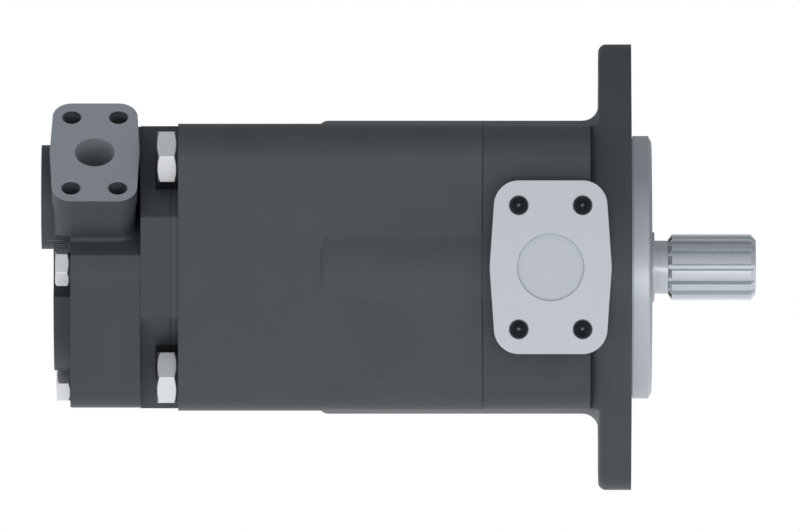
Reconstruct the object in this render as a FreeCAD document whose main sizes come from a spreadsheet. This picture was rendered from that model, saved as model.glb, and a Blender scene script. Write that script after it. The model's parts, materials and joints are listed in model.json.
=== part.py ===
import FreeCAD, Part
# Two-section balanced vane pump with a two-bolt mounting flange and a splined shaft.
# The origin is the centre of the mounting face, on the shaft's axis.
# +X runs along the shaft towards its splined end, +Z is up, and -Y is the side of outlet 1.
# Outlet 2 points half way between -Y and +Z, and the suction port points to +Y.
# All lengths are in millimetres and all angles in degrees.
import math
import os

import Sketcher

Vector = FreeCAD.Vector

DRIVING_SIZES = {
    # Mounting flange and pilot
    "flange_thick": 15.5,
    "flange_middle_radius": 76.0,
    "flange_end_radius": 16.0,
    "flange_end_half": 12.0,
    "flange_bolt_span": 180.0,
    "flange_bolt_dia": 18.0,
    "flange_edge_round": 3.5,
    "flare_radius": 7.5,
    "pilot_dia": 125.0,
    "pilot_height": 9.7,
    "pilot_relief_width": 0.7,
    "pilot_relief_depth": 1.2,
    "pilot_lead_width": 1.6,
    "pilot_lead_depth": 2.9,
    # Castings
    "overlap": 1.0,
    "front_cap_length": 70.9,
    "front_cap_width": 135.4,
    "front_block_gap": 4.2,
    "casting_corner": 16.0,
    "barrel_dia": 139.6,
    "housing_length": 144.15,
    "housing_width": 136.1,
    "barrel_length": 78.1,
    "barrel_end_round": 5.0,
    "neck_dia": 120.0,
    "lug_width": 44.0,
    "lug_span": 134.1,
    "lug_round": 2.5,
    "spigot_height": 3.45,
    "cap_neck_length": 7.2,
    "cap_plate_thick": 7.1,
    "cap_plate_width": 134.1,
    "end_cap_width": 132.8,
    "end_cap_corner": 12.0,
    "end_cap_barrel_dia": 133.8,
    "end_cap_depth": 33.3,
    "cap_back_thick": 8.2,
    "cap_back_dia": 102.0,
    "wrench_pocket_dia": 31.0,
    "rear_boss_dia": 49.4,
    "rear_boss_reach": 47.1,
    "rear_boss_height": 5.7,
    # Outlet 1, facing -Y
    "outlet1_x": -38.6,
    "outlet1_face": 77.1,
    "outlet1_bore": 31.75,
    "outlet1_pitch_x": 30.2,
    "outlet1_pitch_z": 58.7,
    "outlet1_corner": 11.75,
    "outlet1_middle": 28.85,
    "plug_recess": 0.5,
    "plug_depth": 10.0,
    "plug_wall": 1.8,
    "port_root": 5.0,
    # Outlet 2, turned 45 degrees from -Y to +Z
    "outlet2_from_seat": 11.5,
    "outlet2_face": 77.1,
    "outlet2_bore": 19.05,
    "outlet2_pitch_x": 22.2,
    "outlet2_pitch_z": 47.6,
    "outlet2_corner": 9.1,
    "outlet2_middle": 21.35,
    "outlet2_pad_thick": 9.0,
    "outlet2_neck_width": 39.5,
    "outlet_bolt_core": 8.5,
    "outlet_bolt_mouth": 9.5,
    "outlet_bolt_depth": 17.0,
    "outlet2_slope": 51.2,
    "outlet2_foot_round": 2.3,
    # Suction port, facing +Y
    "suction_face": 88.0,
    "suction_bore": 76.0,
    "suction_bore_depth": 28.0,
    "throat_length": 62.0,
    "throat_height": 40.0,
    "throat_round": 8.0,
    "suction_pitch_x": 61.9,
    "suction_pitch_z": 106.4,
    "suction_corner": 14.0,
    "suction_middle": 45.5,
    "suction_bolt_core": 14.0,
    "suction_bolt_mouth": 15.0,
    "suction_bolt_depth": 21.0,
    # Long bolts that clamp the housing to the front cap
    "clamp_offset": 52.3,
    "clamp_dia": 16.0,
    "clamp_hole_dia": 17.5,
    "clamp_flats": 24.0,
    "clamp_head": 10.0,
    "clamp_length": 175.0,
    "clamp_spare_depth": 4.0,
    # Bolts that hold the end cap
    "cap_bolt_circle": 111.0,
    "cap_bolt_dia": 10.0,
    "cap_bolt_hole_dia": 11.0,
    "cap_bolt_flats": 16.0,
    "cap_bolt_head": 7.2,
    "cap_bolt_length": 65.0,
    "cap_bolt_spare_depth": 3.0,
    "hex_crown_share": 0.47,
    # Shaft
    "shaft_reach": 59.4,
    "spline_length": 41.7,
    "spline_dia": 31.2,
    "spline_depth": 2.4,
    "spline_top_width": 3.4,
    "spline_floor_width": 1.6,
    "spline_teeth": 14,
    "spline_entry": 1.7,
    "spline_lead": 2.4,
    "spline_lead_drop": 2.8,
    "neck_shaft_dia": 25.3,
    "collar_dia": 33.4,
    "collar_reach": 11.2,
    "seat_dia": 35.0,
    "shoulder_dia": 41.0,
    "shoulder_width": 3.5,
    "seal_run_dia": 36.0,
    "middle_shaft_dia": 29.6,
    "tail_dia": 20.0,
    "tail_shoulder_gap": 0.6,
    "tail_chamfer": 1.0,
    "drive1_dia": 34.0,
    "drive2_dia": 27.0,
    "drive_depth": 1.8,
    "drive_top_width": 3.4,
    "drive_floor_width": 2.2,
    "drive_teeth": 12,
    "drive_run_in": 4.0,
    # Front ball bearing and its rings
    "bearing_dia": 72.0,
    "bearing_width": 17.0,
    "bearing_back": 13.0,
    "bearing_edge": 1.1,
    "ball_dia": 11.1,
    "ball_count": 9,
    "ball_circle": 53.5,
    "race_radius": 5.8,
    "race_gap": 0.04,
    "inner_ring_dia": 46.8,
    "outer_ring_bore": 60.2,
    "cage_bore": 49.4,
    "cage_dia": 57.6,
    "cage_width": 13.0,
    "cage_pocket_dia": 11.5,
    "bore_ring_thick": 2.5,
    "bore_ring_groove_dia": 75.0,
    "bore_ring_bore": 63.0,
    "shaft_ring_thick": 1.5,
    "shaft_ring_groove_dia": 33.0,
    "shaft_ring_dia": 43.0,
    "ring_gap": 7.0,
    "ring_ear_dia": 7.0,
    "ring_eye_dia": 2.6,
    # Shaft seal
    "seal_dia": 52.0,
    "seal_width": 8.0,
    "seal_wall": 1.2,
    "seal_space": 4.0,
    "seal_space_dia": 60.0,
    "seal_lip_width": 4.5,
    # Front cap's inner spaces
    "hub_bore": 40.0,
    "hub_dia": 62.0,
    "chamber1_dia": 94.0,
    "chamber1_start": -22.0,
    "cartridge1_depth": 14.9,
    # Housing's inner spaces
    "chamber_mid_dia": 96.0,
    "rib_bore": 80.0,
    "rib_width": 6.0,
    "relief1_depth": 4.0,
    "relief1_front_gap": 9.1,
    "relief1_length": 30.0,
    # End cap's inner spaces
    "cartridge2_depth": 7.5,
    "chamber2_dia": 72.0,
    "chamber2_depth": 35.0,
    "end_hub_dia": 40.0,
    "bush_dia": 26.0,
    "bush_length": 18.0,
    "bush_end_space": 6.0,
    # Cartridge 1
    "cartridge1_dia": 108.0,
    "plate1_front": 16.0,
    "cam1_width": 38.0,
    "plate1_rear": 16.0,
    "rotor1_dia": 76.6,
    "cam1_minor": 77.2,
    "cam1_major": 90.0,
    "vane1_thick": 3.2,
    "vane1_height": 14.0,
    "slot1_root_dia": 5.0,
    "port1_inner": 36.0,
    "port1_outer": 43.0,
    "pin1_dia": 6.0,
    "screw1_dia": 6.0,
    "screw1_head_dia": 10.0,
    "screw1_head": 6.0,
    "plate1_bore": 37.0,
    # Cartridge 2
    "cartridge2_dia": 88.0,
    "plate2_front": 14.0,
    "cam2_width": 32.0,
    "plate2_rear": 14.0,
    "rotor2_dia": 61.4,
    "cam2_minor": 62.0,
    "cam2_major": 72.0,
    "vane2_thick": 2.4,
    "vane2_height": 11.0,
    "slot2_root_dia": 4.0,
    "port2_inner": 29.0,
    "port2_outer": 34.5,
    "pin2_dia": 5.0,
    "screw2_dia": 5.0,
    "screw2_head_dia": 8.0,
    "screw2_head": 5.0,
    "plate2_bore": 31.0,
    # Both cartridges
    "vane_count": 10,
    "vane_first_angle": 18.0,
    "port_half_angle": 22.0,
    "port_angle": 45.0,
    "pin_angle": 12.0,
    "pin_hold": 8.0,
    "screw_end_gap": 3.0,
    "plate_seal_width": 3.0,
    "plate_seal_depth": 2.2,
    "plate_seal_inset": 2.0,
    # Seals between the castings
    "joint_seal_width": 3.0,
    "joint_seal_depth": 2.2,
    "joint_seal_edge": 0.8,
    # Clearances, on the radius or on one side
    "side_clear": 0.05,
    "fit_clear": 0.05,
    "vane_clear": 0.03,
    "shaft_clear": 0.05,
    "thread_clear": 0.04,
}


class Size:
    """A length or angle that carries its number and its formula over the sheet's cells."""

    def __init__(self, text, value):
        self.text = text
        self.value = value

    def __add__(self, other):
        other = as_size(other)
        return Size(f"({self.text} + {other.text})", self.value + other.value)

    def __sub__(self, other):
        other = as_size(other)
        return Size(f"({self.text} - {other.text})", self.value - other.value)

    def __mul__(self, other):
        other = as_size(other)
        return Size(f"({self.text} * {other.text})", self.value * other.value)

    def __truediv__(self, other):
        other = as_size(other)
        return Size(f"({self.text} / {other.text})", self.value / other.value)

    def __rsub__(self, other):
        return as_size(other) - self

    def __neg__(self):
        return Size(f"(-{self.text})", -self.value)

    __radd__ = __add__
    __rmul__ = __mul__


def as_size(number):
    """A plain number as a Size."""
    if isinstance(number, Size):
        return number
    return Size(f"({number})", float(number))


def sine(angle):
    angle = as_size(angle)
    return Size(f"sin({angle.text} * 1 deg)", math.sin(math.radians(angle.value)))


def cosine(angle):
    angle = as_size(angle)
    return Size(f"cos({angle.text} * 1 deg)", math.cos(math.radians(angle.value)))


def arc_cosine(ratio):
    return Size(f"(acos({ratio.text}) / 1 deg)", math.degrees(math.acos(ratio.value)))


def arc_tangent(ratio):
    return Size(f"(atan({ratio.text}) / 1 deg)", math.degrees(math.atan(ratio.value)))


def root(square):
    return Size(f"sqrt({square.text})", math.sqrt(square.value))


def polar(radius, angle):
    """The point at a radius and an angle from the first axis."""
    return radius * cosine(angle), radius * sine(angle)


doc = FreeCAD.newDocument("vane_pump")
sheet = doc.addObject("Spreadsheet::Sheet", "sizes")
for row, (alias, number) in enumerate(DRIVING_SIZES.items(), start=1):
    sheet.set(f"A{row}", alias)
    sheet.set(f"B{row}", str(number))
    sheet.setAlias(f"B{row}", alias)
doc.recompute()


def given(alias):
    """One driving size of the sheet."""
    return Size(f"sizes.{alias}", float(DRIVING_SIZES[alias]))


def count(alias):
    """One whole number of the sheet, for loops."""
    return int(DRIVING_SIZES[alias])


# Places along the shaft, worked out from the driving sizes
front_seam = -given("front_cap_length")
housing_end = front_seam - given("housing_length")
rear_seam = housing_end - given("spigot_height")
plate_front_x = rear_seam - given("cap_neck_length")
plate_back_x = plate_front_x - given("cap_plate_thick")
cap_seat_x = plate_back_x - given("end_cap_depth")
cap_end_x = cap_seat_x - given("cap_back_thick")
cartridge1_start = front_seam + given("cartridge1_depth")
cam1_front_x = cartridge1_start - given("plate1_front")
cam1_back_x = cam1_front_x - given("cam1_width")
cartridge1_end = cam1_back_x - given("plate1_rear")
cartridge2_end = rear_seam - given("cartridge2_depth")
cam2_back_x = cartridge2_end + given("plate2_rear")
cam2_front_x = cam2_back_x + given("cam2_width")
cartridge2_start = cam2_front_x + given("plate2_front")
rib_front_x = cartridge2_start + given("rib_width")
suction_x = cartridge2_start + given("suction_bore") / 2
bearing_back_x = -given("bearing_back")
bearing_front_x = bearing_back_x + given("bearing_width")
seal_front_x = bearing_back_x - given("seal_space")
seal_back_x = seal_front_x - given("seal_width")
bush_front_x = cartridge2_end
bush_back_x = bush_front_x - given("bush_length")
tail_end_x = bush_back_x - given("bush_end_space") / 2
nose = given("shaft_reach")

# Sizes across the shaft that follow from what they fit round
seat1_radius = given("cartridge1_dia") / 2 + given("fit_clear")
seat2_radius = given("cartridge2_dia") / 2 + given("fit_clear")
clamp_circle = given("clamp_offset") * math.sqrt(2.0)
joint_seal1_radius = (seat1_radius + clamp_circle - given("clamp_hole_dia") / 2) / 2
joint_seal2_radius = (seat2_radius + given("cap_bolt_circle") / 2 - given("cap_bolt_dia") / 2) / 2
extra = given("overlap")

ONTO_X = 90.0
OUTLET2_TURN = 45.0
HEX_HALF_ANGLE = 30.0
# A vane's tip radius as a share of its thickness, and a socket's reach as a share of its screw's radius
TIP_ROUND_SHARE = 0.625
SOCKET_SHARE = 0.95
# How near two places are to count as one
MATCH = 1e-3
# Turns of the bolt heads about their own axes, from flats level with the ground
CLAMP_ANGLES = (0.0, 0.0, 0.0, 0.0)
CAP_BOLT_ANGLES = (8.0, 22.0, 17.0, 0.0)
PLANE_ACROSS = "YZ_Plane"
PLANE_SIDE = "XZ_Plane"
PLANE_TURNED = "XY_Plane"


def new_body(label):
    return doc.addObject("PartDesign::Body", label)


def new_sketch(body, plane, shift=None, tilt=0.0):
    """A sketch on one of the body's own planes, moved along its normal and tilted about its first axis."""
    sketch = body.newObject("Sketcher::SketchObject", f"{body.Name}_sketch")
    support = [item for item in body.Origin.OriginFeatures if item.Role == plane][0]
    sketch.AttachmentSupport = [(support, "")]
    sketch.MapMode = "FlatFace"
    if shift is not None:
        angle = math.radians(tilt)
        sketch.AttachmentOffset = FreeCAD.Placement(Vector(), FreeCAD.Rotation(Vector(1, 0, 0), -tilt))
        sketch.setExpression("AttachmentOffset.Base.y", (shift * math.sin(angle)).text)
        sketch.setExpression("AttachmentOffset.Base.z", (shift * math.cos(angle)).text)
    return sketch


def bind(sketch, kind, place, size):
    """Adds one dimension whose value is a formula over the sheet."""
    number = sketch.addConstraint(Sketcher.Constraint(kind, *place, size.value))
    sketch.setExpression(f"Constraints[{number}]", size.text)


def arc_between(start, end, radius, turn):
    """The arc shorter than half a circle from start to end, counter-clockwise for turn 1."""
    chord = end - start
    rise = math.sqrt(max(radius ** 2 - (chord.Length / 2) ** 2, 0.0))
    side = Vector(-chord.y, chord.x, 0) * (turn / chord.Length)
    centre = (start + end) * 0.5 + side * rise
    first, last = (start, end) if turn > 0 else (end, start)
    first_angle = math.atan2(first.y - centre.y, first.x - centre.x)
    last_angle = math.atan2(last.y - centre.y, last.x - centre.x)
    circle = Part.Circle(centre, Vector(0, 0, 1), radius)
    return Part.ArcOfCircle(circle, first_angle, last_angle)


def draw_outline(sketch, path):
    """Draws a closed outline: (u, v) ends a straight edge, (u, v, radius, turn) ends an arc."""
    path = [tuple(as_size(item) if place < 3 else item for place, item in enumerate(step)) for step in path]
    edges = []
    for before, step in zip([path[-1]] + path[:-1], path):
        start = Vector(before[0].value, before[1].value, 0)
        end = Vector(step[0].value, step[1].value, 0)
        if len(step) == 2:
            edges.append((sketch.addGeometry(Part.LineSegment(start, end)), 1, 2))
        else:
            arc = arc_between(start, end, step[2].value, step[3])
            forward = step[3] > 0
            edges.append((sketch.addGeometry(arc), 1 if forward else 2, 2 if forward else 1))
    for edge, following in zip(edges, edges[1:] + edges[:1]):
        sketch.addConstraint(Sketcher.Constraint("Coincident", edge[0], edge[2], following[0], following[1]))
    for edge, step in zip(edges, path):
        bind(sketch, "DistanceX", (-1, 1, edge[0], edge[2]), step[0])
        bind(sketch, "DistanceY", (-1, 1, edge[0], edge[2]), step[1])
        if len(step) > 2:
            bind(sketch, "Radius", (edge[0],), step[2])
    return sketch


def draw_circles(sketch, places, radius):
    """Draws equal circles at the places given."""
    for across, up in places:
        across, up = as_size(across), as_size(up)
        centre = Vector(across.value, up.value, 0)
        circle = sketch.addGeometry(Part.Circle(centre, Vector(0, 0, 1), radius.value))
        bind(sketch, "DistanceX", (-1, 1, circle, 3), across)
        bind(sketch, "DistanceY", (-1, 1, circle, 3), up)
        bind(sketch, "Radius", (circle,), radius)
    return sketch


def rectangle(half_u, half_v, corner, centre_u=0.0, centre_v=0.0):
    """A rectangle with rounded corners, as an outline."""
    half_u, half_v, centre_u, centre_v = map(as_size, (half_u, half_v, centre_u, centre_v))
    inner_u, inner_v = half_u - corner, half_v - corner
    return [
        (centre_u + half_u, centre_v - inner_v, corner, 1),
        (centre_u + half_u, centre_v + inner_v),
        (centre_u + inner_u, centre_v + half_v, corner, 1),
        (centre_u - inner_u, centre_v + half_v),
        (centre_u - half_u, centre_v + inner_v, corner, 1),
        (centre_u - half_u, centre_v - inner_v),
        (centre_u - inner_u, centre_v - half_v, corner, 1),
        (centre_u + inner_u, centre_v - half_v),
    ]


def waisted_outline(middle, corner, half_u, half_v, centre_u=0.0):
    """The outline round a middle circle and four corner circles, joined by tangent lines."""
    centre_u = as_size(centre_u)
    reach = root(half_u * half_u + half_v * half_v)
    lean = arc_tangent(half_v / half_u) - arc_cosine((middle - corner) / reach)
    side_u, side_v = polar(middle, lean)
    corner_u, corner_v = half_u + corner * cosine(lean), half_v + corner * sine(lean)
    top = half_v + corner
    return [
        (centre_u + side_u, side_v, middle, 1),
        (centre_u + corner_u, corner_v),
        (centre_u + half_u, top, corner, 1),
        (centre_u - half_u, top),
        (centre_u - corner_u, corner_v, corner, 1),
        (centre_u - side_u, side_v),
        (centre_u - side_u, -side_v, middle, 1),
        (centre_u - corner_u, -corner_v),
        (centre_u - half_u, -top, corner, 1),
        (centre_u + half_u, -top),
        (centre_u + corner_u, -corner_v, corner, 1),
        (centre_u + side_u, -side_v),
    ]


def four_corners(half_u, half_v, centre_u=0.0):
    return [(centre_u + half_u * a, half_v * b) for a in (-1, 1) for b in (-1, 1)]


def set_size(thing, name, size):
    thing.setExpression(name, as_size(size).text)


def pad(body, sketch, length, backwards=False):
    """Adds material from the sketch along its normal, or against it."""
    feature = body.newObject("PartDesign::Pad", f"{body.Name}_pad")
    feature.Profile = sketch
    feature.Reversed = backwards
    set_size(feature, "Length", length)
    return feature


def pocket(body, sketch, length, backwards=False):
    """Takes material away from the sketch against its normal, or along it."""
    feature = body.newObject("PartDesign::Pocket", f"{body.Name}_pocket")
    feature.Profile = sketch
    feature.Reversed = backwards
    set_size(feature, "Length", length)
    return feature


def turn(body, path, kind="Revolution"):
    """A full turn of an outline of (x, radius) points about the shaft's axis; Groove cuts it."""
    sketch = draw_outline(new_sketch(body, PLANE_TURNED), path)
    feature = body.newObject(f"PartDesign::{kind}", f"{body.Name}_{kind.lower()}")
    feature.Profile = sketch
    feature.ReferenceAxis = (sketch, ["H_Axis"])
    feature.Angle = 360.0
    return feature


def cut_turn(body, path):
    return turn(body, path, "Groove")


def ring_path(x_low, x_high, r_low, r_high):
    return [(x_low, r_low), (x_high, r_low), (x_high, r_high), (x_low, r_high)]


def repeat(body, features, number, sketch):
    """Repeats features round the shaft's axis."""
    pattern = body.newObject("PartDesign::PolarPattern", f"{body.Name}_pattern")
    pattern.Originals = features
    pattern.Axis = (sketch, ["N_Axis"])
    pattern.Angle = 360.0
    pattern.Occurrences = number
    body.Tip = pattern
    return pattern


def drill(body, sketch, core, mouth, depth, cone_angle=118.0):
    """Blind holes with a countersunk mouth and a drill point."""
    doc.recompute()
    feature = body.newObject("PartDesign::Hole", f"{body.Name}_hole")
    feature.Profile = sketch
    feature.DepthType = "Dimension"
    feature.HoleCutType = "Countersink"
    feature.DrillPoint = "Angled"
    feature.DrillPointAngle = cone_angle
    feature.HoleCutCountersinkAngle = 90.0
    set_size(feature, "Diameter", core)
    set_size(feature, "HoleCutDiameter", mouth)
    set_size(feature, "Depth", depth)
    return feature


def round_edges(body, radius, wanted, kind="Fillet"):
    """Rounds or chamfers the edges of the body's shape that the test picks."""
    doc.recompute()
    base = body.Tip
    names = [f"Edge{n}" for n, edge in enumerate(base.Shape.Edges, start=1) if wanted(edge)]
    feature = body.newObject(f"PartDesign::{kind}", f"{body.Name}_{kind.lower()}")
    feature.Base = (base, names)
    set_size(feature, "Radius" if kind == "Fillet" else "Size", radius)
    return feature


def on_plane(edge, axis, place):
    """True for an edge that lies wholly in the plane across one axis."""
    low = getattr(edge.BoundBox, f"{axis}Min")
    high = getattr(edge.BoundBox, f"{axis}Max")
    return abs(low - place) < MATCH and abs(high - place) < MATCH


def primitive(kind, name, **sizes_by_property):
    thing = doc.addObject(f"Part::{kind}", name)
    for name_of_size, size in sizes_by_property.items():
        set_size(thing, name_of_size, size)
    return thing


def along_x(thing, x_low, across=0.0, up=0.0):
    """Lays a primitive that stands on Z along X, from x_low on."""
    thing.Placement = FreeCAD.Placement(Vector(), FreeCAD.Rotation(Vector(0, 1, 0), ONTO_X))
    for axis, size in zip("xyz", (x_low, across, up)):
        set_size(thing, f"Placement.Base.{axis}", size)
    return thing


def rod(name, radius, x_low, length, across=0.0, up=0.0):
    return along_x(primitive("Cylinder", name, Radius=radius, Height=length), x_low, across, up)


def joined(name, things):
    union = doc.addObject("Part::MultiFuse", name)
    union.Shapes = things
    return union


def without(name, base, tool):
    rest = doc.addObject("Part::Cut", name)
    rest.Base = base
    rest.Tool = tool
    return rest


def group(name, things):
    """Separate equal solids that share one node."""
    several = doc.addObject("Part::Compound", name)
    several.Links = things
    return several


def clamp_places():
    return four_corners(given("clamp_offset"), given("clamp_offset"))


def cap_bolt_places():
    return [polar(given("cap_bolt_circle") / 2, quarter * 90.0) for quarter in range(4)]


def add_lugs(body, x_low, length):
    """A round neck with four flat lugs, between the corner bolts."""
    neck = draw_circles(new_sketch(body, PLANE_ACROSS, x_low), [(0, 0)], given("neck_dia") / 2)
    pad(body, neck, length)
    half_lug, half_span = given("lug_width") / 2, given("lug_span") / 2
    for half_u, half_v in ((half_lug, half_span), (half_span, half_lug)):
        bar = draw_outline(
            new_sketch(body, PLANE_ACROSS, x_low), rectangle(half_u, half_v, given("lug_round")))
        pad(body, bar, length)


def front_cap():
    """The front casting: mounting flange, pilot, outlet 1 and the seats of bearing, seal and cartridge 1."""
    body = new_body("front_cap")
    flange_back = -given("flange_thick")
    flange = draw_outline(
        new_sketch(body, PLANE_ACROSS, flange_back),
        waisted_outline(given("flange_middle_radius"), given("flange_end_radius"),
                        given("flange_end_half"), given("flange_bolt_span") / 2))
    pad(body, flange, given("flange_thick"))
    round_edges(body, given("flange_edge_round"), lambda edge: on_plane(edge, "X", flange_back.value))

    barrel = given("barrel_dia") / 2
    flare = given("flare_radius")
    turn(body, [(front_seam, 0), (flange_back, 0), (flange_back, barrel + flare),
                (flange_back - flare, barrel, flare, 1), (front_seam, barrel)])

    # The flare is trimmed to the flange's flat back
    edge_round = given("flange_edge_round")
    reach = given("flange_bolt_span")
    trim = draw_outline(
        new_sketch(body, PLANE_ACROSS, flange_back), rectangle(reach, reach, flare))
    draw_outline(trim, waisted_outline(
        given("flange_middle_radius") - edge_round, given("flange_end_radius") - edge_round,
        given("flange_end_half"), given("flange_bolt_span") / 2))
    pocket(body, trim, flare)

    half = given("front_cap_width") / 2
    block = draw_outline(
        new_sketch(body, PLANE_ACROSS, front_seam), rectangle(half, half, given("casting_corner")))
    pad(body, block, given("front_cap_length") - given("flange_thick") - given("front_block_gap"))

    pilot = given("pilot_dia") / 2
    relief = pilot - given("pilot_relief_depth")
    height = given("pilot_height")
    turn(body, [(-extra, 0), (height, 0), (height, pilot - given("pilot_lead_depth")),
                (height - given("pilot_lead_width"), pilot), (given("pilot_relief_width"), pilot),
                (given("pilot_relief_width"), relief), (-extra, relief)])

    half_u, half_v = given("outlet1_pitch_x") / 2, given("outlet1_pitch_z") / 2
    outlet = draw_outline(
        new_sketch(body, PLANE_SIDE, given("outlet1_face")),
        waisted_outline(given("outlet1_middle"), given("outlet1_corner"), half_u, half_v,
                        given("outlet1_x")))
    pad(body, outlet, given("outlet1_face") - given("chamber1_dia") / 2 - given("port_root"),
        backwards=True)

    # The round spaces inside, from the bearing's seat to the cartridge's seat
    hub, chamber = given("hub_bore") / 2, given("chamber1_dia") / 2
    seat, ring_groove = given("bearing_dia") / 2, given("bore_ring_groove_dia") / 2
    ring_front = bearing_front_x + given("bore_ring_thick")
    cut_turn(body, [(bearing_back_x, 0), (height + extra, 0), (height + extra, seat), (ring_front, seat),
                    (ring_front, ring_groove), (bearing_front_x, ring_groove), (bearing_front_x, seat),
                    (bearing_back_x, seat)])
    cut_turn(body, [(cartridge1_start - extra, 0), (bearing_back_x + extra, 0),
                    (bearing_back_x + extra, given("seal_space_dia") / 2),
                    (seal_front_x, given("seal_space_dia") / 2), (seal_front_x, given("seal_dia") / 2),
                    (seal_back_x, given("seal_dia") / 2), (seal_back_x, hub),
                    (cartridge1_start - extra, hub)])
    cut_turn(body, ring_path(cartridge1_start - extra, given("chamber1_start"),
                             given("hub_dia") / 2, chamber))
    cut_turn(body, ring_path(front_seam - extra, cartridge1_start, 0, seat1_radius))

    bore = draw_circles(new_sketch(body, PLANE_SIDE, given("outlet1_face")),
                        [(given("outlet1_x"), 0)], given("outlet1_bore") / 2)
    pocket(body, bore, given("outlet1_face") - (given("hub_dia") + given("chamber1_dia")) / 4)
    holes = draw_circles(new_sketch(body, PLANE_SIDE, given("outlet1_face")),
                         four_corners(half_u, half_v, given("outlet1_x")), given("outlet_bolt_core") / 2)
    drill(body, holes, given("outlet_bolt_core"), given("outlet_bolt_mouth"), given("outlet_bolt_depth"))

    flange_bolts = [(0, given("flange_bolt_span") / 2), (0, -given("flange_bolt_span") / 2)]
    holes = draw_circles(new_sketch(body, PLANE_ACROSS, as_size(0)), flange_bolts,
                         given("flange_bolt_dia") / 2)
    pocket(body, holes, given("flange_thick"))
    threads = draw_circles(new_sketch(body, PLANE_ACROSS, front_seam), clamp_places(),
                           given("clamp_dia") / 2 + given("thread_clear"))
    thread_depth = given("clamp_length") - given("housing_length") + given("clamp_spare_depth")
    pocket(body, threads, thread_depth, backwards=True)
    return body


def centre_housing():
    """The middle casting: the barrel round both cartridges and the suction port."""
    body = new_body("centre_housing")
    half = given("housing_width") / 2
    block = draw_outline(
        new_sketch(body, PLANE_ACROSS, housing_end), rectangle(half, half, given("casting_corner")))
    pad(body, block, given("housing_length"))
    barrel, end_round = given("barrel_dia") / 2, given("barrel_end_round")
    barrel_end = front_seam - given("barrel_length")
    turn(body, [(barrel_end, 0), (front_seam, 0), (front_seam, barrel), (barrel_end + end_round, barrel),
                (barrel_end, barrel - end_round, end_round, 1)])
    add_lugs(body, rear_seam, given("spigot_height"))

    half_u, half_v = given("suction_pitch_x") / 2, given("suction_pitch_z") / 2
    face = given("suction_face")
    port = draw_outline(
        new_sketch(body, PLANE_SIDE, -face),
        waisted_outline(given("suction_middle"), given("suction_corner"), half_u, half_v, suction_x))
    relief_radius = seat1_radius + given("relief1_depth")
    pad(body, port, face - relief_radius - extra)

    # The round spaces inside: cartridge 1, the suction chamber, the rib and cartridge 2
    chamber, rib = given("chamber_mid_dia") / 2, given("rib_bore") / 2
    cut_turn(body, [(rear_seam - extra, 0), (front_seam + extra, 0), (front_seam + extra, seat1_radius),
                    (cartridge1_end, seat1_radius), (cartridge1_end, chamber), (rib_front_x, chamber),
                    (rib_front_x, rib), (cartridge2_start, rib),
                    (cartridge2_start, seat2_radius), (rear_seam - extra, seat2_radius)])
    relief_start = front_seam - given("relief1_front_gap")
    cut_turn(body, ring_path(relief_start - given("relief1_length"), relief_start,
                             seat1_radius - extra, relief_radius))

    seal_groove(body, front_seam, joint_seal1_radius, -1)
    seal_groove(body, rear_seam, joint_seal2_radius, 1)

    bore = draw_circles(new_sketch(body, PLANE_SIDE, -face), [(suction_x, 0)],
                        given("suction_bore") / 2)
    pocket(body, bore, given("suction_bore_depth"), backwards=True)
    throat = draw_outline(
        new_sketch(body, PLANE_SIDE, given("suction_bore_depth") - face),
        rectangle(given("throat_length") / 2, given("throat_height") / 2, given("throat_round"),
                  suction_x))
    pocket(body, throat, face - given("suction_bore_depth") - given("rib_bore") / 2, backwards=True)
    holes = draw_circles(new_sketch(body, PLANE_SIDE, -face),
                         four_corners(half_u, half_v, suction_x), given("suction_bolt_core") / 2)
    hole = drill(body, holes, given("suction_bolt_core"), given("suction_bolt_mouth"),
                 given("suction_bolt_depth"))
    hole.Reversed = True

    holes = draw_circles(new_sketch(body, PLANE_ACROSS, front_seam), clamp_places(),
                         given("clamp_hole_dia") / 2)
    pocket(body, holes, given("housing_length"))
    threads = draw_circles(new_sketch(body, PLANE_ACROSS, rear_seam), cap_bolt_places(),
                           given("cap_bolt_dia") / 2 + given("thread_clear"))
    cap_thickness = given("cap_neck_length") + given("cap_plate_thick") + given("end_cap_depth")
    pocket(body, threads, given("cap_bolt_length") - cap_thickness + given("cap_bolt_spare_depth"),
           backwards=True)
    return body


def seal_groove(body, seam, middle, side):
    """A ring groove in the face at a seam; side is the way into the metal along X."""
    half_width = given("joint_seal_width") / 2
    low, high = sorted((seam, seam + given("joint_seal_depth") * side), key=lambda place: place.value)
    cut_turn(body, ring_path(low, high, middle - half_width, middle + half_width))


def turned_point(outwards, along):
    """The (y, z) place of a point given along outlet 2's axis and along its tilted length."""
    turned = math.sqrt(0.5)
    return (along - outwards) * turned, (along + outwards) * turned


def at_outlet2_foot(edge):
    """True for the edges where outlet 2's neck meets the slope under it."""
    within = given("outlet2_neck_width").value / 2 + MATCH
    middle = edge.CenterOfMass
    turned = math.sqrt(0.5)
    on_slope = all(abs((point.Z - point.Y) * turned - given("outlet2_slope").value) < MATCH
                   for point in edge.Vertexes)
    beside = abs(middle.x - cap_seat_x.value - given("outlet2_from_seat").value) < within
    half_length = given("outlet2_pitch_z").value / 2 + given("outlet2_corner").value
    along = abs(middle.y + middle.z) * turned < half_length + MATCH
    return on_slope and beside and along and middle.x > cap_seat_x.value + MATCH


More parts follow.
